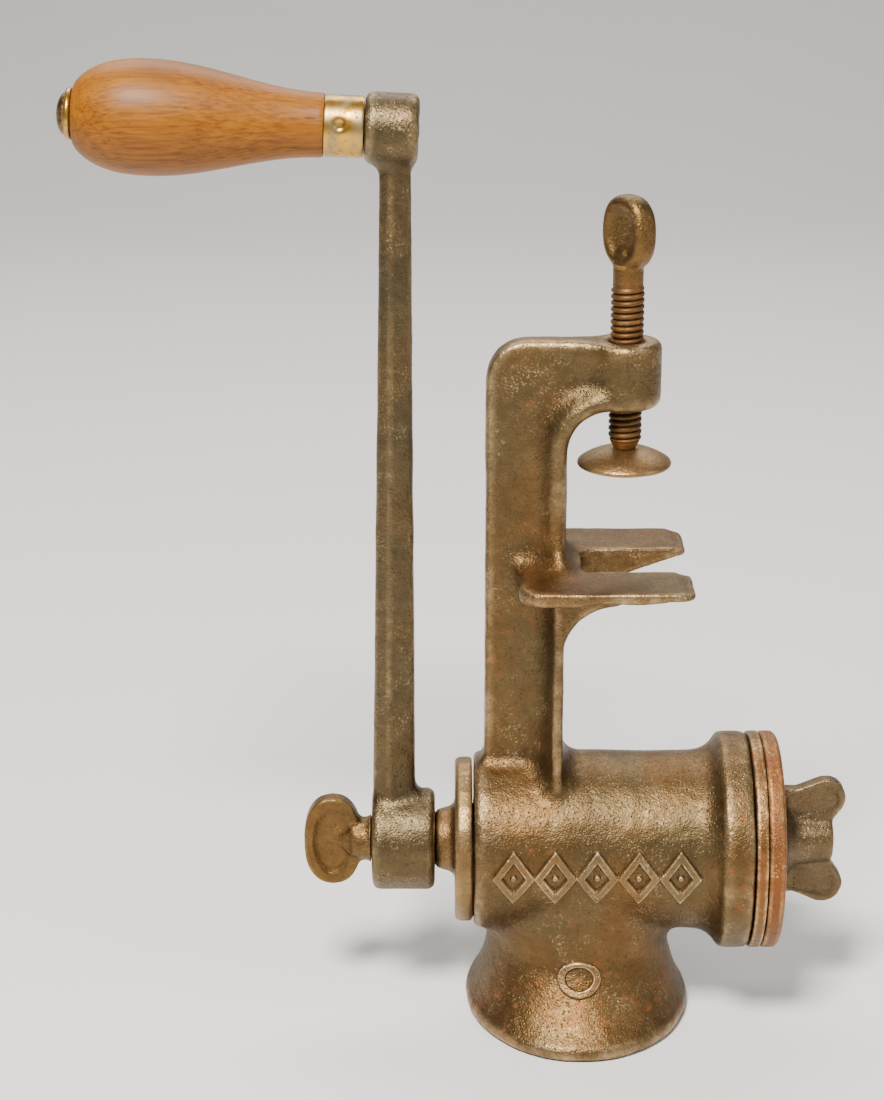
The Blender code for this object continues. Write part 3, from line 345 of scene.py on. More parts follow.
def varnished_wood():
    """Amber varnish on close-grained wood: long grain, darker figure, short pores and knocks."""
    n = Nodes("varnished_wood")
    along = n.stretch((0.055, 1.0, 1.0))
    figure = n.noise(95.0, 4.0, 0.55, n.stretch((0.16, 1.0, 1.0)), 0.6)
    grain = n.noise(1300.0, 5.0, 0.65, along)
    tone = n.mix(n.remap(figure, 0.36, 0.66), rgb(130, 76, 3), rgb(106, 56, 2))
    tone = n.mix(n.remap(grain, 0.38, 0.66, 0.0, 0.5), tone, rgb(164, 104, 10))
    tone = n.mix(n.remap(grain, 0.46, 0.30, 0.0, 0.5), tone, rgb(84, 42, 3))
    pore = n.remap(n.cells(620.0, n.stretch((0.11, 1.0, 1.0))), 0.20, 0.08)
    pore = n.math("MULTIPLY", pore, n.remap(n.noise(260.0, 3.0, 0.6, along), 0.48, 0.60))
    tone = n.mix(n.math("MULTIPLY", pore, 0.85), tone, rgb(58, 24, 6))
    knock = n.math("MULTIPLY", n.remap(n.noise(210.0, 6.0, 0.75), 0.63, 0.70), 0.75)
    tone = n.mix(knock, tone, rgb(70, 34, 12))
    dirt = n.remap(n.noise(34.0, 3.0, 0.5), 0.50, 0.72, 0.0, 0.5)
    tone = n.mix(dirt, tone, rgb(92, 54, 10))
    rough = n.remap(grain, 0.3, 0.7, 0.44, 0.56)
    rough = n.math("ADD", rough, n.math("MULTIPLY", knock, 0.3))
    height = n.math("SUBTRACT", n.math("MULTIPLY", grain, 0.6), pore)
    n.shader.inputs["Coat Weight"].default_value = 0.06
    n.shader.inputs["Coat Roughness"].default_value = 0.30
    n.shader.inputs["Specular IOR Level"].default_value = 0.25
    return n.finish(tone, 0.0, rough, n.bump(height, 0.22 * MM, 0.6))


IRON = cast_iron(
    "iron_body",
    base=rgb(97, 80, 52),
    warm=rgb(112, 82, 46),
    dark=rgb(58, 44, 28),
    light=rgb(214, 182, 134),
    rust=rgb(142, 72, 26),
    rust_share=0.3,
)
# the raised work: a lighter copy of the body iron, its edges rubbed bright in full, which is partly
# worn metal and partly painted highlight
RAISED = cast_iron(
    "iron_raised",
    base=rgb(122, 102, 70),
    warm=rgb(134, 102, 62),
    dark=rgb(58, 44, 28),
    light=rgb(244, 216, 170),
    rust=rgb(142, 72, 26),
    rust_share=0.2,
    rub_share=1.0,
)
CRANK_IRON = cast_iron(
    "iron_crank",
    base=rgb(88, 77, 55),
    warm=rgb(98, 80, 54),
    dark=rgb(50, 40, 28),
    light=rgb(200, 168, 120),
    rust=rgb(118, 66, 30),
    rust_share=0.1,
    rub_share=0.8,
)
DARK_IRON = cast_iron(
    "iron_dark",
    base=rgb(104, 80, 46),
    warm=rgb(120, 86, 46),
    dark=rgb(46, 34, 20),
    light=rgb(206, 162, 98),
    rust=rgb(126, 66, 26),
    rust_share=0.2,
)
NUT_IRON = cast_iron(
    "iron_nut",
    base=rgb(98, 84, 62),
    warm=rgb(106, 86, 60),
    dark=rgb(62, 50, 36),
    light=rgb(196, 168, 126),
    rust=rgb(126, 72, 34),
    rust_share=0.2,
)
FEED_IRON = cast_iron(
    "iron_feed",
    base=rgb(132, 108, 72),
    warm=rgb(138, 104, 62),
    dark=rgb(66, 50, 32),
    light=rgb(214, 182, 134),
    rust=rgb(142, 72, 26),
    rust_share=0.2,
    grain=0.6,
    rub_share=0.3,
)
CUTTER_IRON = cast_iron(
    "rusty_disc",
    base=rgb(122, 80, 38),
    warm=rgb(128, 72, 28),
    dark=rgb(62, 38, 18),
    light=rgb(222, 178, 116),
    rust=rgb(122, 58, 16),
    rust_share=0.8,
    rough=0.46,
    metal=0.6,
    rub_share=0.9,
)
PLATE_IRON = cast_iron(
    "plate_disc",
    base=rgb(118, 88, 50),
    warm=rgb(136, 86, 40),
    dark=rgb(62, 40, 20),
    light=rgb(244, 212, 160),
    rust=rgb(136, 64, 24),
    rust_share=0.7,
    rough=0.38,
    metal=0.8,
    rub_share=0.8,
)
# its near-black dark tone is painted shade in the thread's roots
THREAD_STEEL = cast_iron(
    "thread_steel",
    base=rgb(90, 64, 30),
    warm=rgb(104, 66, 26),
    dark=rgb(28, 18, 9),
    light=rgb(176, 126, 60),
    rust=rgb(132, 68, 20),
    rust_share=0.5,
    grain=0.4,
    rough=0.5,
    metal=0.6,
    rub_share=0.8,
)
BRASS = tinned_brass()
RIVET_STEEL = dull_steel()
WOOD = varnished_wood()


# ---------------------------------------------------------------- shaping

def smoothstep(low, high, value):
    t = np.clip((value - low) / (high - low), 0.0, 1.0)
    return t * t * (3 - 2 * t)


def roughen(obj, steps):
    """Moves each vertex along its normal by smooth noise: (amplitude, size of a lump) pairs."""
    mesh = obj.data
    co = coordinates(mesh)
    shift = np.zeros(len(co))
    for amount, size in steps:
        shift += amount * np.array([noise.noise(Vector(point) / size) for point in co])
    set_coordinates(mesh, co + normals(mesh) * shift[:, None])


def closed_mesh(name, points, faces):
    """A smooth-shaded mesh with its faces turned outwards."""
    mesh = bpy.data.meshes.new(name)
    mesh.from_pydata(points, [], faces)
    grid = bmesh.new()
    grid.from_mesh(mesh)
    bmesh.ops.recalc_face_normals(grid, faces=grid.faces)
    grid.to_mesh(mesh)
    grid.free()
    mesh.shade_smooth()
    return mesh


def grid_mesh(name, rings, looped=False):
    """Skins rings of equally many points: capped at both ends, or looped back to the first."""
    count = len(rings[0])
    points = [tuple(point) for ring in rings for point in ring]
    faces = []
    for i in range(len(rings) if looped else len(rings) - 1):
        near, far = i * count, (i + 1) % len(rings) * count
        for j in range(count):
            k = (j + 1) % count
            faces.append((near + j, near + k, far + k, far + j))
    if not looped:
        faces.append(tuple(range(count)))
        faces.append(tuple(range((len(rings) - 1) * count, len(rings) * count)))
    return closed_mesh(name, points, faces)


def lathe(name, profile, sides, place, reach=None, looped=False, sharp=35):
    """Turns (along, radius) stations round the local +X axis, and place takes it to the frame.

    reach(along, angle, radius), where it is given, returns the radius at each angle.
    """
    rings = []
    for along, radius in profile:
        ring = []
        for i in range(sides):
            angle = 2 * math.pi * i / sides
            r = radius if reach is None else reach(along, angle, radius)
            ring.append(place @ Vector((along, r * math.cos(angle), r * math.sin(angle))))
        rings.append(ring)
    mesh = grid_mesh(name, rings, looped)
    mesh.set_sharp_from_angle(angle=math.radians(sharp))
    return link(name, mesh)


def upright(x, y, z):
    """Takes a turned piece's own +X axis to +Z, with its start at the point."""
    return Matrix.Translation((x, y, z)) @ Matrix.Rotation(-math.pi / 2, 4, "Y")


def thread_radius(along, angle, radius, pitch, depth):
    """A right-hand thread with broad rounded crests and narrow roots."""
    phase = (along / pitch - angle / (2 * math.pi)) % 1.0
    return radius - depth * abs(2 * phase - 1) ** 2.6


def centre(node):
    low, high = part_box(node)
    return (low + high) / 2


def dress(obj, body, slot, material, *nodes):
    """Gives a piece its material and the body it rides on, and hides the CAD nodes it stands for; the
    slot is not used.
    """
    obj.data.materials.clear()
    obj.data.materials.append(material)
    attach(obj, body)
    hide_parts(*nodes)


AXIS_Z = centre("front_stud").z
PLATE_START = 82.1 * MM  # from the barrel's rear face to the fixed plate
REAR_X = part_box("fixed_plate")[0].x - PLATE_START
CLAMP = centre("clamp_pad")


def on_casting(x, y, z):
    """A place given from the barrel's rear face, the middle plane and the axis."""
    return Vector((REAR_X + x, y, AXIS_Z + z))


# ---------------------------------------------------------------- the casting

def soften(obj, start, end, reach, repeats):
    """Runs the surface together round a line, as filled and fettled corners are."""
    mesh = obj.data
    co = coordinates(mesh)
    start, run = np.array(start), np.array(end) - np.array(start)
    along = np.clip((co - start) @ run / max(run @ run, 1e-12), 0, 1)
    distance = np.linalg.norm(co - start - along[:, None] * run, axis=1)
    share = smoothstep(reach, 0.6 * reach, distance)[:, None]
    set_coordinates(mesh, co + share * (neighbour_mean(mesh, co, repeats) - co))


def body():
    obj = cast_copy("body_casting", "body_cast", 0.90 * MM, 3.6 * MM, 4)
    for side in (-1, 1):
        arm_root = on_casting(18.5 * MM, side * 11 * MM, 89.5 * MM)
        rib_foot = on_casting(22.4 * MM, side * 6.5 * MM, 27 * MM)
        rib_bend = on_casting(22.4 * MM, side * 6.5 * MM, 122 * MM)
        rib_end = on_casting(32.5 * MM, side * 6.5 * MM, 133.5 * MM)
        soften(obj, arm_root, arm_root, 13 * MM, 34)
        soften(obj, rib_foot, rib_bend, 9 * MM, 14)
        soften(obj, rib_bend, rib_end, 9 * MM, 14)
    roughen(obj, [(0.22 * MM, 14 * MM), (0.10 * MM, 4 * MM)])
    mark_wear_and_shade(obj, 14, 0.4 * MM)
    return obj


def stroke(distance, half_width, edge):
    """1 within half_width of a line, rounding off to 0 beyond it."""
    return smoothstep(half_width + edge, half_width - 0.35 * edge, distance)


RELIEF_SINK = 0.28 * MM  # how far a relief's plain parts lie under the casting's surface
RELIEF_BACK = -1.6  # where its closed back lies, in heights of the relief


def stand_off(height, full):
    """How far out of the casting a relief's surface is, where full is its greatest height."""
    if height < 0:
        return full * height
    return -RELIEF_SINK + (full + RELIEF_SINK) * height


def relief(name, half_size, steps, height_at, surface):
    """A closed plate that follows a surface. Its plain parts lie just under that surface."""
    steps_u, steps_v = steps
    us = np.linspace(-half_size[0], half_size[0], steps_u)
    vs = np.linspace(-half_size[1], half_size[1], steps_v)
    u, v = np.meshgrid(us, vs, indexing="ij")
    height = height_at(u, v)
    top = [surface(u.flat[i], v.flat[i], height.flat[i]) for i in range(u.size)]
    bottom = [surface(u.flat[i], v.flat[i], RELIEF_BACK) for i in range(u.size)]
    faces = []
    for i in range(steps_u - 1):
        for j in range(steps_v - 1):
            a = i * steps_v + j
            quad = (a, a + steps_v, a + steps_v + 1, a + 1)
            faces.append(quad)
            faces.append(tuple(p + u.size for p in reversed(quad)))
    last_row = (steps_u - 1) * steps_v
    rim = [(i * steps_v, (i + 1) * steps_v) for i in range(steps_u - 1)]
    rim += [(last_row + j, last_row + j + 1) for j in range(steps_v - 1)]
    rim += [((i + 2) * steps_v - 1, (i + 1) * steps_v - 1) for i in range(steps_u - 1)]
    rim += [(j + 1, j) for j in range(steps_v - 1)]
    faces += [(b, a, a + u.size, b + u.size) for a, b in rim]
    return link(name, closed_mesh(name, [tuple(p) for p in top + bottom], faces))


BARREL_RADIUS = 26.6 * MM
BAND_HEIGHT = 1.4 * MM
BAND_MIDDLE = 36.0 * MM  # from the barrel's rear face
BAND_TURN = math.radians(-1)  # from the level of the axis, up positive


def lozenges(u, v):
    """A generic band of raised work: five broad lozenges. u runs along it, v across."""
    pitch, half_u, half_v = 12.2 * MM, 4.9 * MM, 6.5 * MM
    slope = 1 / math.hypot(1 / half_u, 1 / half_v)
    height = np.zeros_like(u)
    for i in range(-2, 3):
        du, dv = np.abs(u - i * pitch), np.abs(v)
        outline = np.abs(du / half_u + dv / half_v - 1) * slope
        height = np.maximum(height, stroke(outline, 1.05 * MM, 0.65 * MM))
        height = np.maximum(height, 0.8 * stroke(np.hypot(du, dv), 0.75 * MM, 0.6 * MM))
    return height


def barrel_relief():
    def surface(u, v, height):
        angle = v / BARREL_RADIUS + BAND_TURN
        radius = BARREL_RADIUS + stand_off(height, BAND_HEIGHT)
        return on_casting(BAND_MIDDLE + u, -radius * math.cos(angle), radius * math.sin(angle))
    obj = relief("barrel_relief", (30.6 * MM, 8.2 * MM), (310, 84), lozenges, surface)
    mark_wear_and_shade(obj, 10, 0.22 * MM)
    return obj


OVAL_HEIGHT = 1.1 * MM


def hopper_oval():
    """A small plain raised oval ring on the front of the hopper, below the band."""
    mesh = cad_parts["body_casting"].data
    skin = BVHTree.FromPolygons([v.co for v in mesh.vertices], [p.vertices for p in mesh.polygons])
    before = on_casting(31.2 * MM, -200 * MM, -33.0 * MM)

    def height_at(u, v):
        size = np.hypot(u / (5.2 * MM), v / (4.0 * MM))
        return stroke(np.abs(size - 1) * 4.6 * MM, 0.95 * MM, 0.6 * MM)

    def surface(u, v, height):
        start = before + Vector((u, 0, v))
        place, normal, _, _ = skin.ray_cast(start, Vector((0, 1, 0)))
        return place + normal * stand_off(height, OVAL_HEIGHT)
    obj = relief("hopper_oval", (7.4 * MM, 6.2 * MM), (78, 66), height_at, surface)
    mark_wear_and_shade(obj, 10, 0.22 * MM)
    return obj


# ---------------------------------------------------------------- clamp screw and pad

CROWN_Z = CLAMP.z + 3.0 * MM  # the top of the pad


def clamp_screw():
    """Pivot, thread and shank as one turned piece, from the pad's crown up."""
    pitch, depth, major = 1.83 * MM, 1.0 * MM, 4.75 * MM
    neck, shank, steps_a_turn = 2.2 * MM, 4.30 * MM, 14
    start, end = 1.5 * MM, 47.0 * MM
    steps = round((end - start) / pitch * steps_a_turn)
    threaded = -1.0  # stands for a radius where the thread is cut
    profile = [(-5.6 * MM, 3.0 * MM), (-5.3 * MM, 3.5 * MM), (-4.2 * MM, 3.6 * MM)]
    profile += [(-4.1 * MM, neck), (-0.7 * MM, neck), (-0.7 * MM, 3.2 * MM), (0.6 * MM, 3.9 * MM)]
    profile += [(start + (end - start) * i / steps, threaded) for i in range(steps + 1)]
    profile += [(end + 0.6 * MM, shank), (end + 6.0 * MM, shank)]

    def reach(along, angle, radius):
        if radius > 0:
            return radius
        cut = thread_radius(along, angle, major, pitch, depth)
        fade = smoothstep(0.0, 1.6 * MM, end - along) * smoothstep(0.0, 0.9 * MM, along - start)
        return shank + (cut - shank) * fade
    place = upright(CLAMP.x, CLAMP.y, CROWN_Z)
    obj = lathe("clamp_thread", profile, 56, place, reach, sharp=60)
    mark_wear_and_shade(obj, 5, 0.22 * MM)
    return obj


def superellipse(count, half_x, half_z, power):
    """Points round an oval, which is squarer the lower the power is below 1."""
    points = []
    for i in range(count):
        side, rise = math.cos(2 * math.pi * i / count), math.sin(2 * math.pi * i / count)
        x = half_x * math.copysign(abs(side) ** power, side)
        z = half_z * math.copysign(abs(rise) ** power, rise)
        points.append((x, z))
    return points


def dished_slab(name, half_x, half_y, half_z, dish, power, place, steps=26, count=72):
    """An oval slab with a raised round rim and hollow faces on both sides."""
    outline = superellipse(count, half_x, half_z, power)
    rim_start, rim_share, thin_share = 0.72, 0.28, 0.30
    profile = []
    for i in range(1, steps + 1):
        s = i / steps
        rim = math.sqrt(max(0.0, 1 - max(0.0, (s - rim_start) / rim_share) ** 2))
        hollow = 1 - dish * smoothstep(0.80, 0.46, s)
        profile.append((s, half_y * hollow * (thin_share + (1 - thin_share) * rim)))
    stations = [(s, -y) for s, y in profile] + [(s, y) for s, y in reversed(profile)]
    rings = [[place @ Vector((x * s, y, z * s)) for x, z in outline] for s, y in stations]
    return grid_mesh(name, rings)


def join_and_close(name, meshes, voxel, fillet, repeats):
    """One casting from several overlapping closed meshes."""
    grid = bmesh.new()
    for mesh in meshes:
        grid.from_mesh(mesh)
    joined = bpy.data.meshes.new(name)
    grid.to_mesh(joined)
    grid.free()
    obj = link(name, joined)
    close_and_ease(obj, voxel, (fillet, -fillet), repeats)
    return obj


def thumb_piece():
    """The oval thumb piece, dished on both faces, with the stub that joins it to the shank."""
    half_height = 10.6 * MM
    middle = Vector((CLAMP.x, CLAMP.y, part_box("clamp_screw")[1].z - half_height))
    turn = Matrix.Translation(middle) @ Matrix.Rotation(math.radians(-52), 4, "Z")
    slab = dished_slab("thumb_slab", 8.6 * MM, 3.7 * MM, half_height, 0.44, 0.84, turn)
    profile = [(-4.6, 4.25), (-3.0, 4.36), (0.5, 4.36), (5.5, 3.2)]
    place = upright(middle.x, middle.y, middle.z - half_height)
    stub = lathe("thumb_stub", [(x * MM, r * MM) for x, r in profile], 48, place)
    obj = join_and_close("clamp_thumb", [slab, stub.data], 0.30 * MM, 1.3 * MM, 5)
    bpy.data.objects.remove(stub)
    mark_wear_and_shade(obj, 16, 0.3 * MM)
    return obj


def pad():
    """The swivel pad: a flat crown, a sloping shoulder, a round edge and a bored underside."""
    crown = [(-0.9, 2.5), (-0.9, 4.6)]
    shoulder = [(-1.15, 5.6), (-1.7, 7.6), (-2.5, 9.6), (-3.4, 11.4), (-4.1, 12.5)]
    edge = [(-4.55, 13.1), (-4.9, 13.4), (-5.3, 13.5), (-5.7, 13.35), (-5.95, 12.9), (-6.0, 12.3)]
    bore = [(-6.0, 4.0), (-3.8, 3.9), (-3.8, 2.5)]
    profile = crown + shoulder + edge + bore
    spacing = 0.5
    fine = []
    for (x0, r0), (x1, r1) in zip(profile, profile[1:] + profile[:1]):
        parts = max(1, round(math.hypot(x1 - x0, r1 - r0) / spacing))
        fine += [(x0 + (x1 - x0) * i / parts, r0 + (r1 - r0) * i / parts) for i in range(parts)]
    place = upright(CLAMP.x, CLAMP.y, CROWN_Z)
    obj = lathe("pad_cast", [(x * MM, r * MM) for x, r in fine], 128, place, looped=True)
    roughen(obj, [(0.12 * MM, 6 * MM)])
    mark_wear_and_shade(obj, 12, 0.25 * MM)
    return obj


# ---------------------------------------------------------------- crank, feed screw, discs and nut

def dish(obj, inside, depth):
    """Sinks the faces that look along +Y or -Y, by depth times inside(points)."""
    mesh = obj.data
    co = coordinates(mesh)
    outward = normals(mesh)[:, 1]
    facing = smoothstep(0.55, 0.85, np.abs(outward))
    co[:, 1] -= np.sign(outward) * depth * facing * inside(co)
    set_coordinates(mesh, co)


def crank():
    obj = cast_copy("crank_arm", "crank_cast", 0.50 * MM, 2.6 * MM, 4, 1.5 * MM)
    roughen(obj, [(0.14 * MM, 12 * MM), (0.05 * MM, 3 * MM)])
    mark_wear_and_shade(obj, 16, 0.3 * MM)
    return obj


def wing_screw():
    """The crank's screw, with its oval blade hollowed on both faces."""
    obj = cast_copy("crank_wing_screw", "wing_screw_cast", 0.36 * MM, 1.6 * MM, 5)
    middle_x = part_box("crank_wing_screw")[0].x + 8.6 * MM
    half_x, half_z = 6.6 * MM, 11.6 * MM

    def inside(co):
        d = np.hypot((co[:, 0] - middle_x) / half_x, (co[:, 2] - AXIS_Z) / half_z)
        return smoothstep(1.0, 0.72, d)
    dish(obj, inside, 0.9 * MM)
    roughen(obj, [(0.10 * MM, 5 * MM)])
    mark_wear_and_shade(obj, 14, 0.28 * MM)
    return obj


def nut():
    """The wing nut, with both wings hollowed a little along their length."""
    obj = cast_copy("wing_nut", "nut_cast", 0.45 * MM, 1.8 * MM, 5)
    base_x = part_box("wing_nut")[0].x

    def inside(co):
        total = np.zeros(len(co))
        for side in (1, -1):
            a = np.array((base_x + 5.5 * MM, AXIS_Z + side * 12.0 * MM))
            b = np.array((base_x + 14.2 * MM, AXIS_Z + side * 13.6 * MM))
            p = co[:, (0, 2)]
            t = np.clip(((p - a) @ (b - a)) / ((b - a) @ (b - a)), 0, 1)
            d = np.linalg.norm(p - a - t[:, None] * (b - a), axis=1)
            total = np.maximum(total, smoothstep(4.6 * MM, 3.1 * MM, d))
        return total
    dish(obj, inside, 0.4 * MM)
    roughen(obj, [(0.12 * MM, 6 * MM), (0.06 * MM, 2.5 * MM)])
    mark_wear_and_shade(obj, 14, 0.3 * MM)
    return obj


def feed():
    obj = cast_copy("feed_screw", "feed_screw_cast", 0.60 * MM, 1.2 * MM, 2)
    mark_wear_and_shade(obj, 14, 0.3 * MM)
    return obj


def plate(node, name):
    obj = cast_copy(node, name, 0.42 * MM, 0.0, 3)
    mark_wear_and_shade(obj, 10, 0.2 * MM)
    return obj


def stud():
    """The threaded stud, with both of its ends chamfered."""
    low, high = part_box("front_stud")
    length, radius = high.x - low.x, 4.18 * MM
    pitch, depth, steps_a_turn = 1.41 * MM, 0.7 * MM, 12
    chamfer_length, chamfer_depth = 0.9 * MM, 0.8 * MM
    steps = round(length / pitch * steps_a_turn)
    profile = [(length * i / steps, radius) for i in range(steps + 1)]

    def reach(along, angle, radius):
        edge = smoothstep(0.0, chamfer_length, min(along, length - along))
        return thread_radius(along, angle, radius, pitch, depth) - chamfer_depth * (1 - edge)
    place = Matrix.Translation((low.x, 0.0, AXIS_Z))
    obj = lathe("stud_thread", profile, 40, place, reach, sharp=60)
    mark_wear_and_shade(obj, 5, 0.2 * MM)
    return obj


def pin():
    low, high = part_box("plate_key_pin")
    length, radius = high.x - low.x, (high.z - low.z) / 2
    end = [(0.0, 0.7 * radius), (0.3 * MM, 0.97 * radius), (0.6 * MM, radius)]
    profile = end + [(length - along, r) for along, r in reversed(end)]
    obj = lathe("key_pin", profile, 32, Matrix.Translation((low.x, 0.0, (low.z + high.z) / 2)))
    mark_wear_and_shade(obj, 2, 0.4 * MM)
    return obj


# ---------------------------------------------------------------- grip

BOSS = on_casting(-23.05 * MM, 0.0, 214.5 * MM)  # where the grip's axis meets the crank's boss
GRIP_TILT = math.radians(2.6)
GRIP_PLACE = Matrix.Translation(BOSS) @ Matrix.Rotation(GRIP_TILT, 4, "Y")

# Along the grip's axis from the boss, where outwards is negative.
FERRULE_LENGTH = 10.7 * MM
FERRULE_NEAR = -7.75 * MM
FERRULE_FAR = FERRULE_NEAR - FERRULE_LENGTH
GRIP_LENGTH = 69.0 * MM
GRIP_NEAR = FERRULE_FAR - 0.3 * MM
GRIP_FAR = GRIP_NEAR - GRIP_LENGTH
GRIP_BORE = 3.4 * MM


def grip_radius(share):
    """The turned wood from the ferrule (0) to the end (1)."""
    neck, widest, end, widest_at = 8.9 * MM, 16.0 * MM, 7.4 * MM, 0.70
    if share < widest_at:
        return neck + (widest - neck) * (0.5 - 0.5 * math.cos(math.pi * share / widest_at))
    t = (share - widest_at) / (1 - widest_at)
    return end + (widest - end) * (1 - t ** 2.4) ** 0.65


def grip():
    """The wooden grip, with a spigot inside the ferrule and a bore for the rivet."""
    steps, spigot_start, spigot = 150, FERRULE_NEAR - 0.3 * MM, 7.7 * MM
    shoulder, ease = 8.5 * MM, 0.25 * MM
    shares = [math.sin(math.pi / 2 * i / steps) for i in range(steps + 1)]
    profile = [(spigot_start, GRIP_BORE), (spigot_start, spigot), (GRIP_NEAR, spigot)]
    profile += [(GRIP_NEAR, shoulder), (GRIP_NEAR, grip_radius(0.0) - ease)]
    profile += [(GRIP_NEAR - GRIP_LENGTH * s, grip_radius(s)) for s in shares[1:]]
    profile.append((GRIP_FAR, GRIP_BORE))
    return lathe("grip_wood", profile, 128, GRIP_PLACE, looped=True)


def ferrule():
    """A thin drawn cap with rolled edges and one punched dimple that holds it to the wood."""
    outer, inner, steps = 8.6 * MM, 8.0 * MM, 40
    roll, roll_reach = 0.16 * MM, 0.22 * MM
    dimple_at, dimple_angle = FERRULE_NEAR - 6.6 * MM, math.radians(168)
    dimple_depth, dimple_reach = 1.1 * MM, 1.25 * MM
    unevenness = 0.06 * MM
    stations = []
    for i in range(steps + 1):
        t = i / steps
        edge = min(t, 1 - t) * FERRULE_LENGTH
        radius = outer - roll * math.exp(-edge / roll_reach)
        stations.append((FERRULE_NEAR - FERRULE_LENGTH * t, radius))
    stations += [(FERRULE_FAR, inner), (FERRULE_NEAR, inner)]

    def reach(along, angle, radius):
        if radius < (outer + inner) / 2:
            return radius
        around = math.remainder(angle - dimple_angle, 2 * math.pi) * outer
        off = math.hypot(around, along - dimple_at)
        dimple = dimple_depth * math.exp(-((off / dimple_reach) ** 2))
        return radius - dimple + unevenness * math.sin(3 * angle + 1)
    obj = lathe("ferrule_tin", stations, 120, GRIP_PLACE, reach, looped=True, sharp=50)
    # the small height scale makes the painted shade in the dimple strong
    mark_wear_and_shade(obj, 12, 0.09 * MM)
    return obj


def washer():
    """The grip's end washer: a thin cap with a rounded rim."""
    near = GRIP_FAR - 0.3 * MM
    inside = [(0.0, 3.3), (0.0, 6.8)]
    rim = [(-0.2, 7.1), (-0.6, 7.25), (-1.1, 7.2), (-1.5, 6.9), (-1.75, 6.4), (-1.65, 5.8)]
    profile = inside + rim + [(-1.6, 3.3)]
    profile = [(near + x * MM, r * MM) for x, r in profile]
    obj = lathe("end_washer", profile, 96, GRIP_PLACE, looped=True, sharp=70)
    mark_wear_and_shade(obj, 1, 0.6 * MM)
    return obj


def spindle():
    """The rivet that the grip turns on, with its domed head over the washer."""
    head, head_height, head_radius, steps = GRIP_FAR - 1.75 * MM, 2.8 * MM, 6.0 * MM, 10
    shank, shank_end = 3.0 * MM, 7.15 * MM
    profile = []
    for i in range(steps + 1):
        angle = math.pi / 2 * i / steps
        radius = max(0.2 * MM, head_radius * math.sin(angle))
        profile.append((head - head_height * math.cos(angle), radius))
    profile += [(head, shank), (shank_end, shank)]
    return lathe("spindle_rivet", profile, 64, GRIP_PLACE, sharp=50)


# ---------------------------------------------------------------- the pieces

dress(body(), "frame", "cast_iron_body", IRON, "body_casting")
dress(barrel_relief(), "frame", "cast_iron_body", RAISED, "body_casting")
dress(hopper_oval(), "frame", "cast_iron_body", RAISED, "body_casting")
dress(plate("fixed_plate", "plate_disc"), "frame", "rusty_plate", PLATE_IRON, "fixed_plate")
dress(pin(), "frame", "steel_stud", THREAD_STEEL, "plate_key_pin")
dress(feed(), "feed_screw", "cast_iron_feed_screw", FEED_IRON, "feed_screw")
dress(stud(), "feed_screw", "steel_stud", THREAD_STEEL, "front_stud")
dress(plate("rotary_cutter", "cutter_disc"), "cutter", "rusty_cutter", CUTTER_IRON, "rotary_cutter")
dress(nut(), "wing_nut", "cast_iron_nut", NUT_IRON, "wing_nut")
dress(crank(), "crank", "cast_iron_crank", CRANK_IRON, "crank_arm")
dress(wing_screw(), "crank_screw", "cast_iron_wing_screw", DARK_IRON, "crank_wing_screw")
dress(spindle(), "crank", "steel_spindle", RIVET_STEEL, "grip_spindle")
dress(washer(), "crank", "steel_spindle", BRASS, "grip_end_washer")
dress(grip(), "grip", "varnished_wood", WOOD, "wooden_grip")
dress(ferrule(), "grip", "tinned_ferrule", BRASS, "grip_ferrule")
dress(clamp_screw(), "clamp_screw", "steel_clamp_screw", THREAD_STEEL, "clamp_screw")
dress(thumb_piece(), "clamp_screw", "steel_clamp_screw", DARK_IRON, "clamp_screw")
dress(pad(), "clamp_pad", "cast_iron_pad", FEED_IRON, "clamp_pad")


# ---------------------------------------------------------------- stage

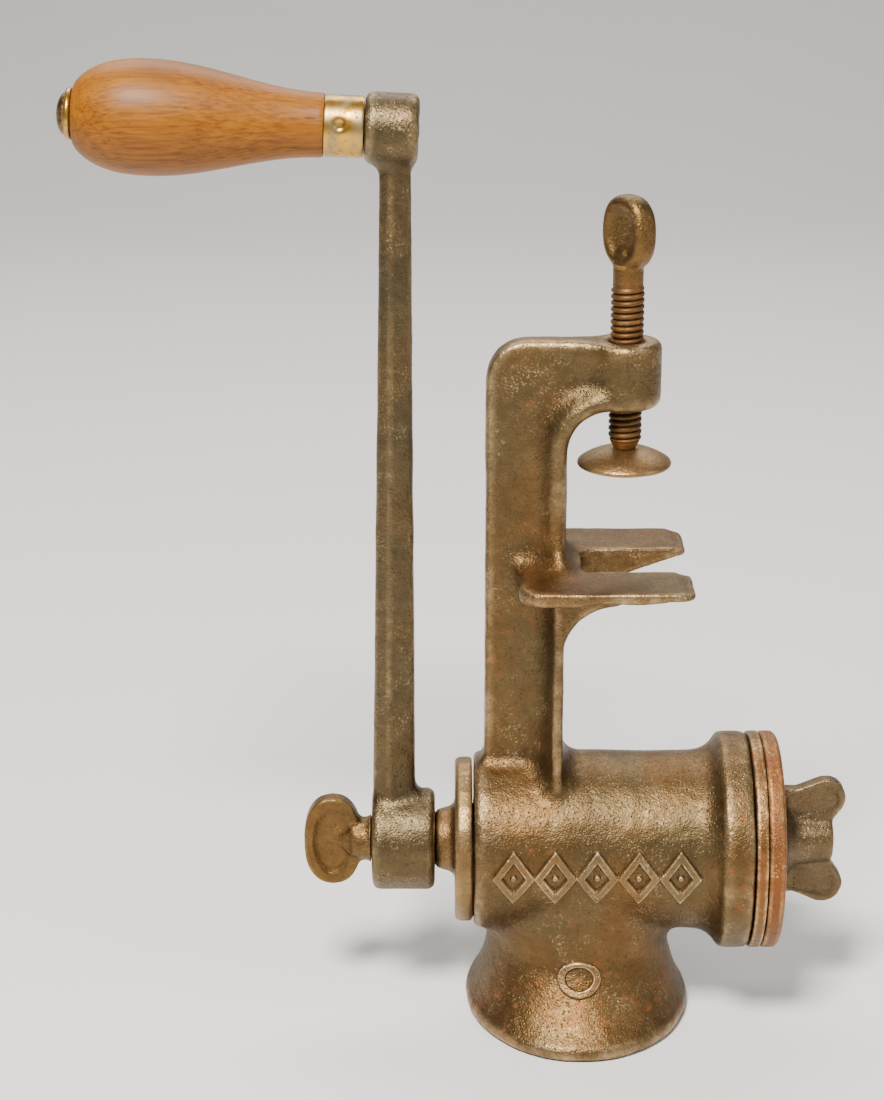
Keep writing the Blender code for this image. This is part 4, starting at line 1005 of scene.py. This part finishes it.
def floor():
    """A plain pale sweep: flat under the object, curving up a long way behind it."""
    half_width, bend_start, bend_radius, wall_top = 9.0, 1.1, 0.7, 3.0
    profile = [(-half_width, 0.0), (bend_start, 0.0)]
    for degrees in range(5, 91, 5):
        angle = math.radians(degrees)
        y = bend_start + bend_radius * math.sin(angle)
        profile.append((y, bend_radius - bend_radius * math.cos(angle)))
    profile.append((bend_start + bend_radius, wall_top))
    grid = bmesh.new()
    sides = (-half_width, half_width)
    rows = [[grid.verts.new((x, y, z)) for y, z in profile] for x in sides]
    for i in range(len(profile) - 1):
        grid.faces.new((rows[0][i], rows[1][i], rows[1][i + 1], rows[0][i + 1]))
    mesh = bpy.data.meshes.new("studio_floor")
    grid.to_mesh(mesh)
    grid.free()
    mesh.shade_smooth()
    obj = link("studio_floor", mesh)
    n = Nodes("paper")
    tone = n.mix(n.noise(3.0, 3.0), rgb(226, 224, 220), rgb(233, 231, 228))
    rough = n.remap(n.noise(900.0), 0.3, 0.7, 0.75, 0.85)
    obj.data.materials.append(n.finish(tone, 0.0, rough, n.bump(n.noise(1800.0), 0.1 * MM, 0.3)))


def area_light(name, location, target, size, power, colour=(1.0, 1.0, 1.0)):
    data = bpy.data.lights.new(name, "AREA")
    data.shape = "RECTANGLE"
    data.size, data.size_y = size
    data.energy = power
    data.color = colour
    obj = link(name, data)
    obj.location = location
    direction = Vector(target) - Vector(location)
    obj.rotation_euler = direction.to_track_quat("-Z", "Y").to_euler()


def lights():
    middle = (0, 0, 0.13)
    area_light("key", (-0.25, -0.72, 1.20), middle, (0.34, 0.34), 43.0, (1.0, 0.97, 0.92))
    area_light("fill", (0.95, -0.45, 0.75), middle, (0.4, 0.7), 4.0, (0.93, 0.97, 1.0))
    area_light("top", (0.0, 0.75, 1.0), (0, 0, 0.1), (1.1, 0.5), 10.0)
    world = bpy.data.worlds.new("room")
    world.use_nodes = True
    back = world.node_tree.nodes["Background"]
    back.inputs["Color"].default_value = (0.96, 0.98, 1.0, 1.0)
    back.inputs["Strength"].default_value = 0.12
    bpy.context.scene.world = world


def camera():
    data = bpy.data.cameras.new("camera")
    data.lens = 90.3
    data.sensor_width = 36.0
    obj = link("camera", data)
    obj.location = (-6.99 * MM, -756.4 * MM, 405.0 * MM)
    obj.rotation_euler = (math.radians(71.0), 0.0, 0.0)
    bpy.context.scene.camera = obj


floor()
lights()
camera()
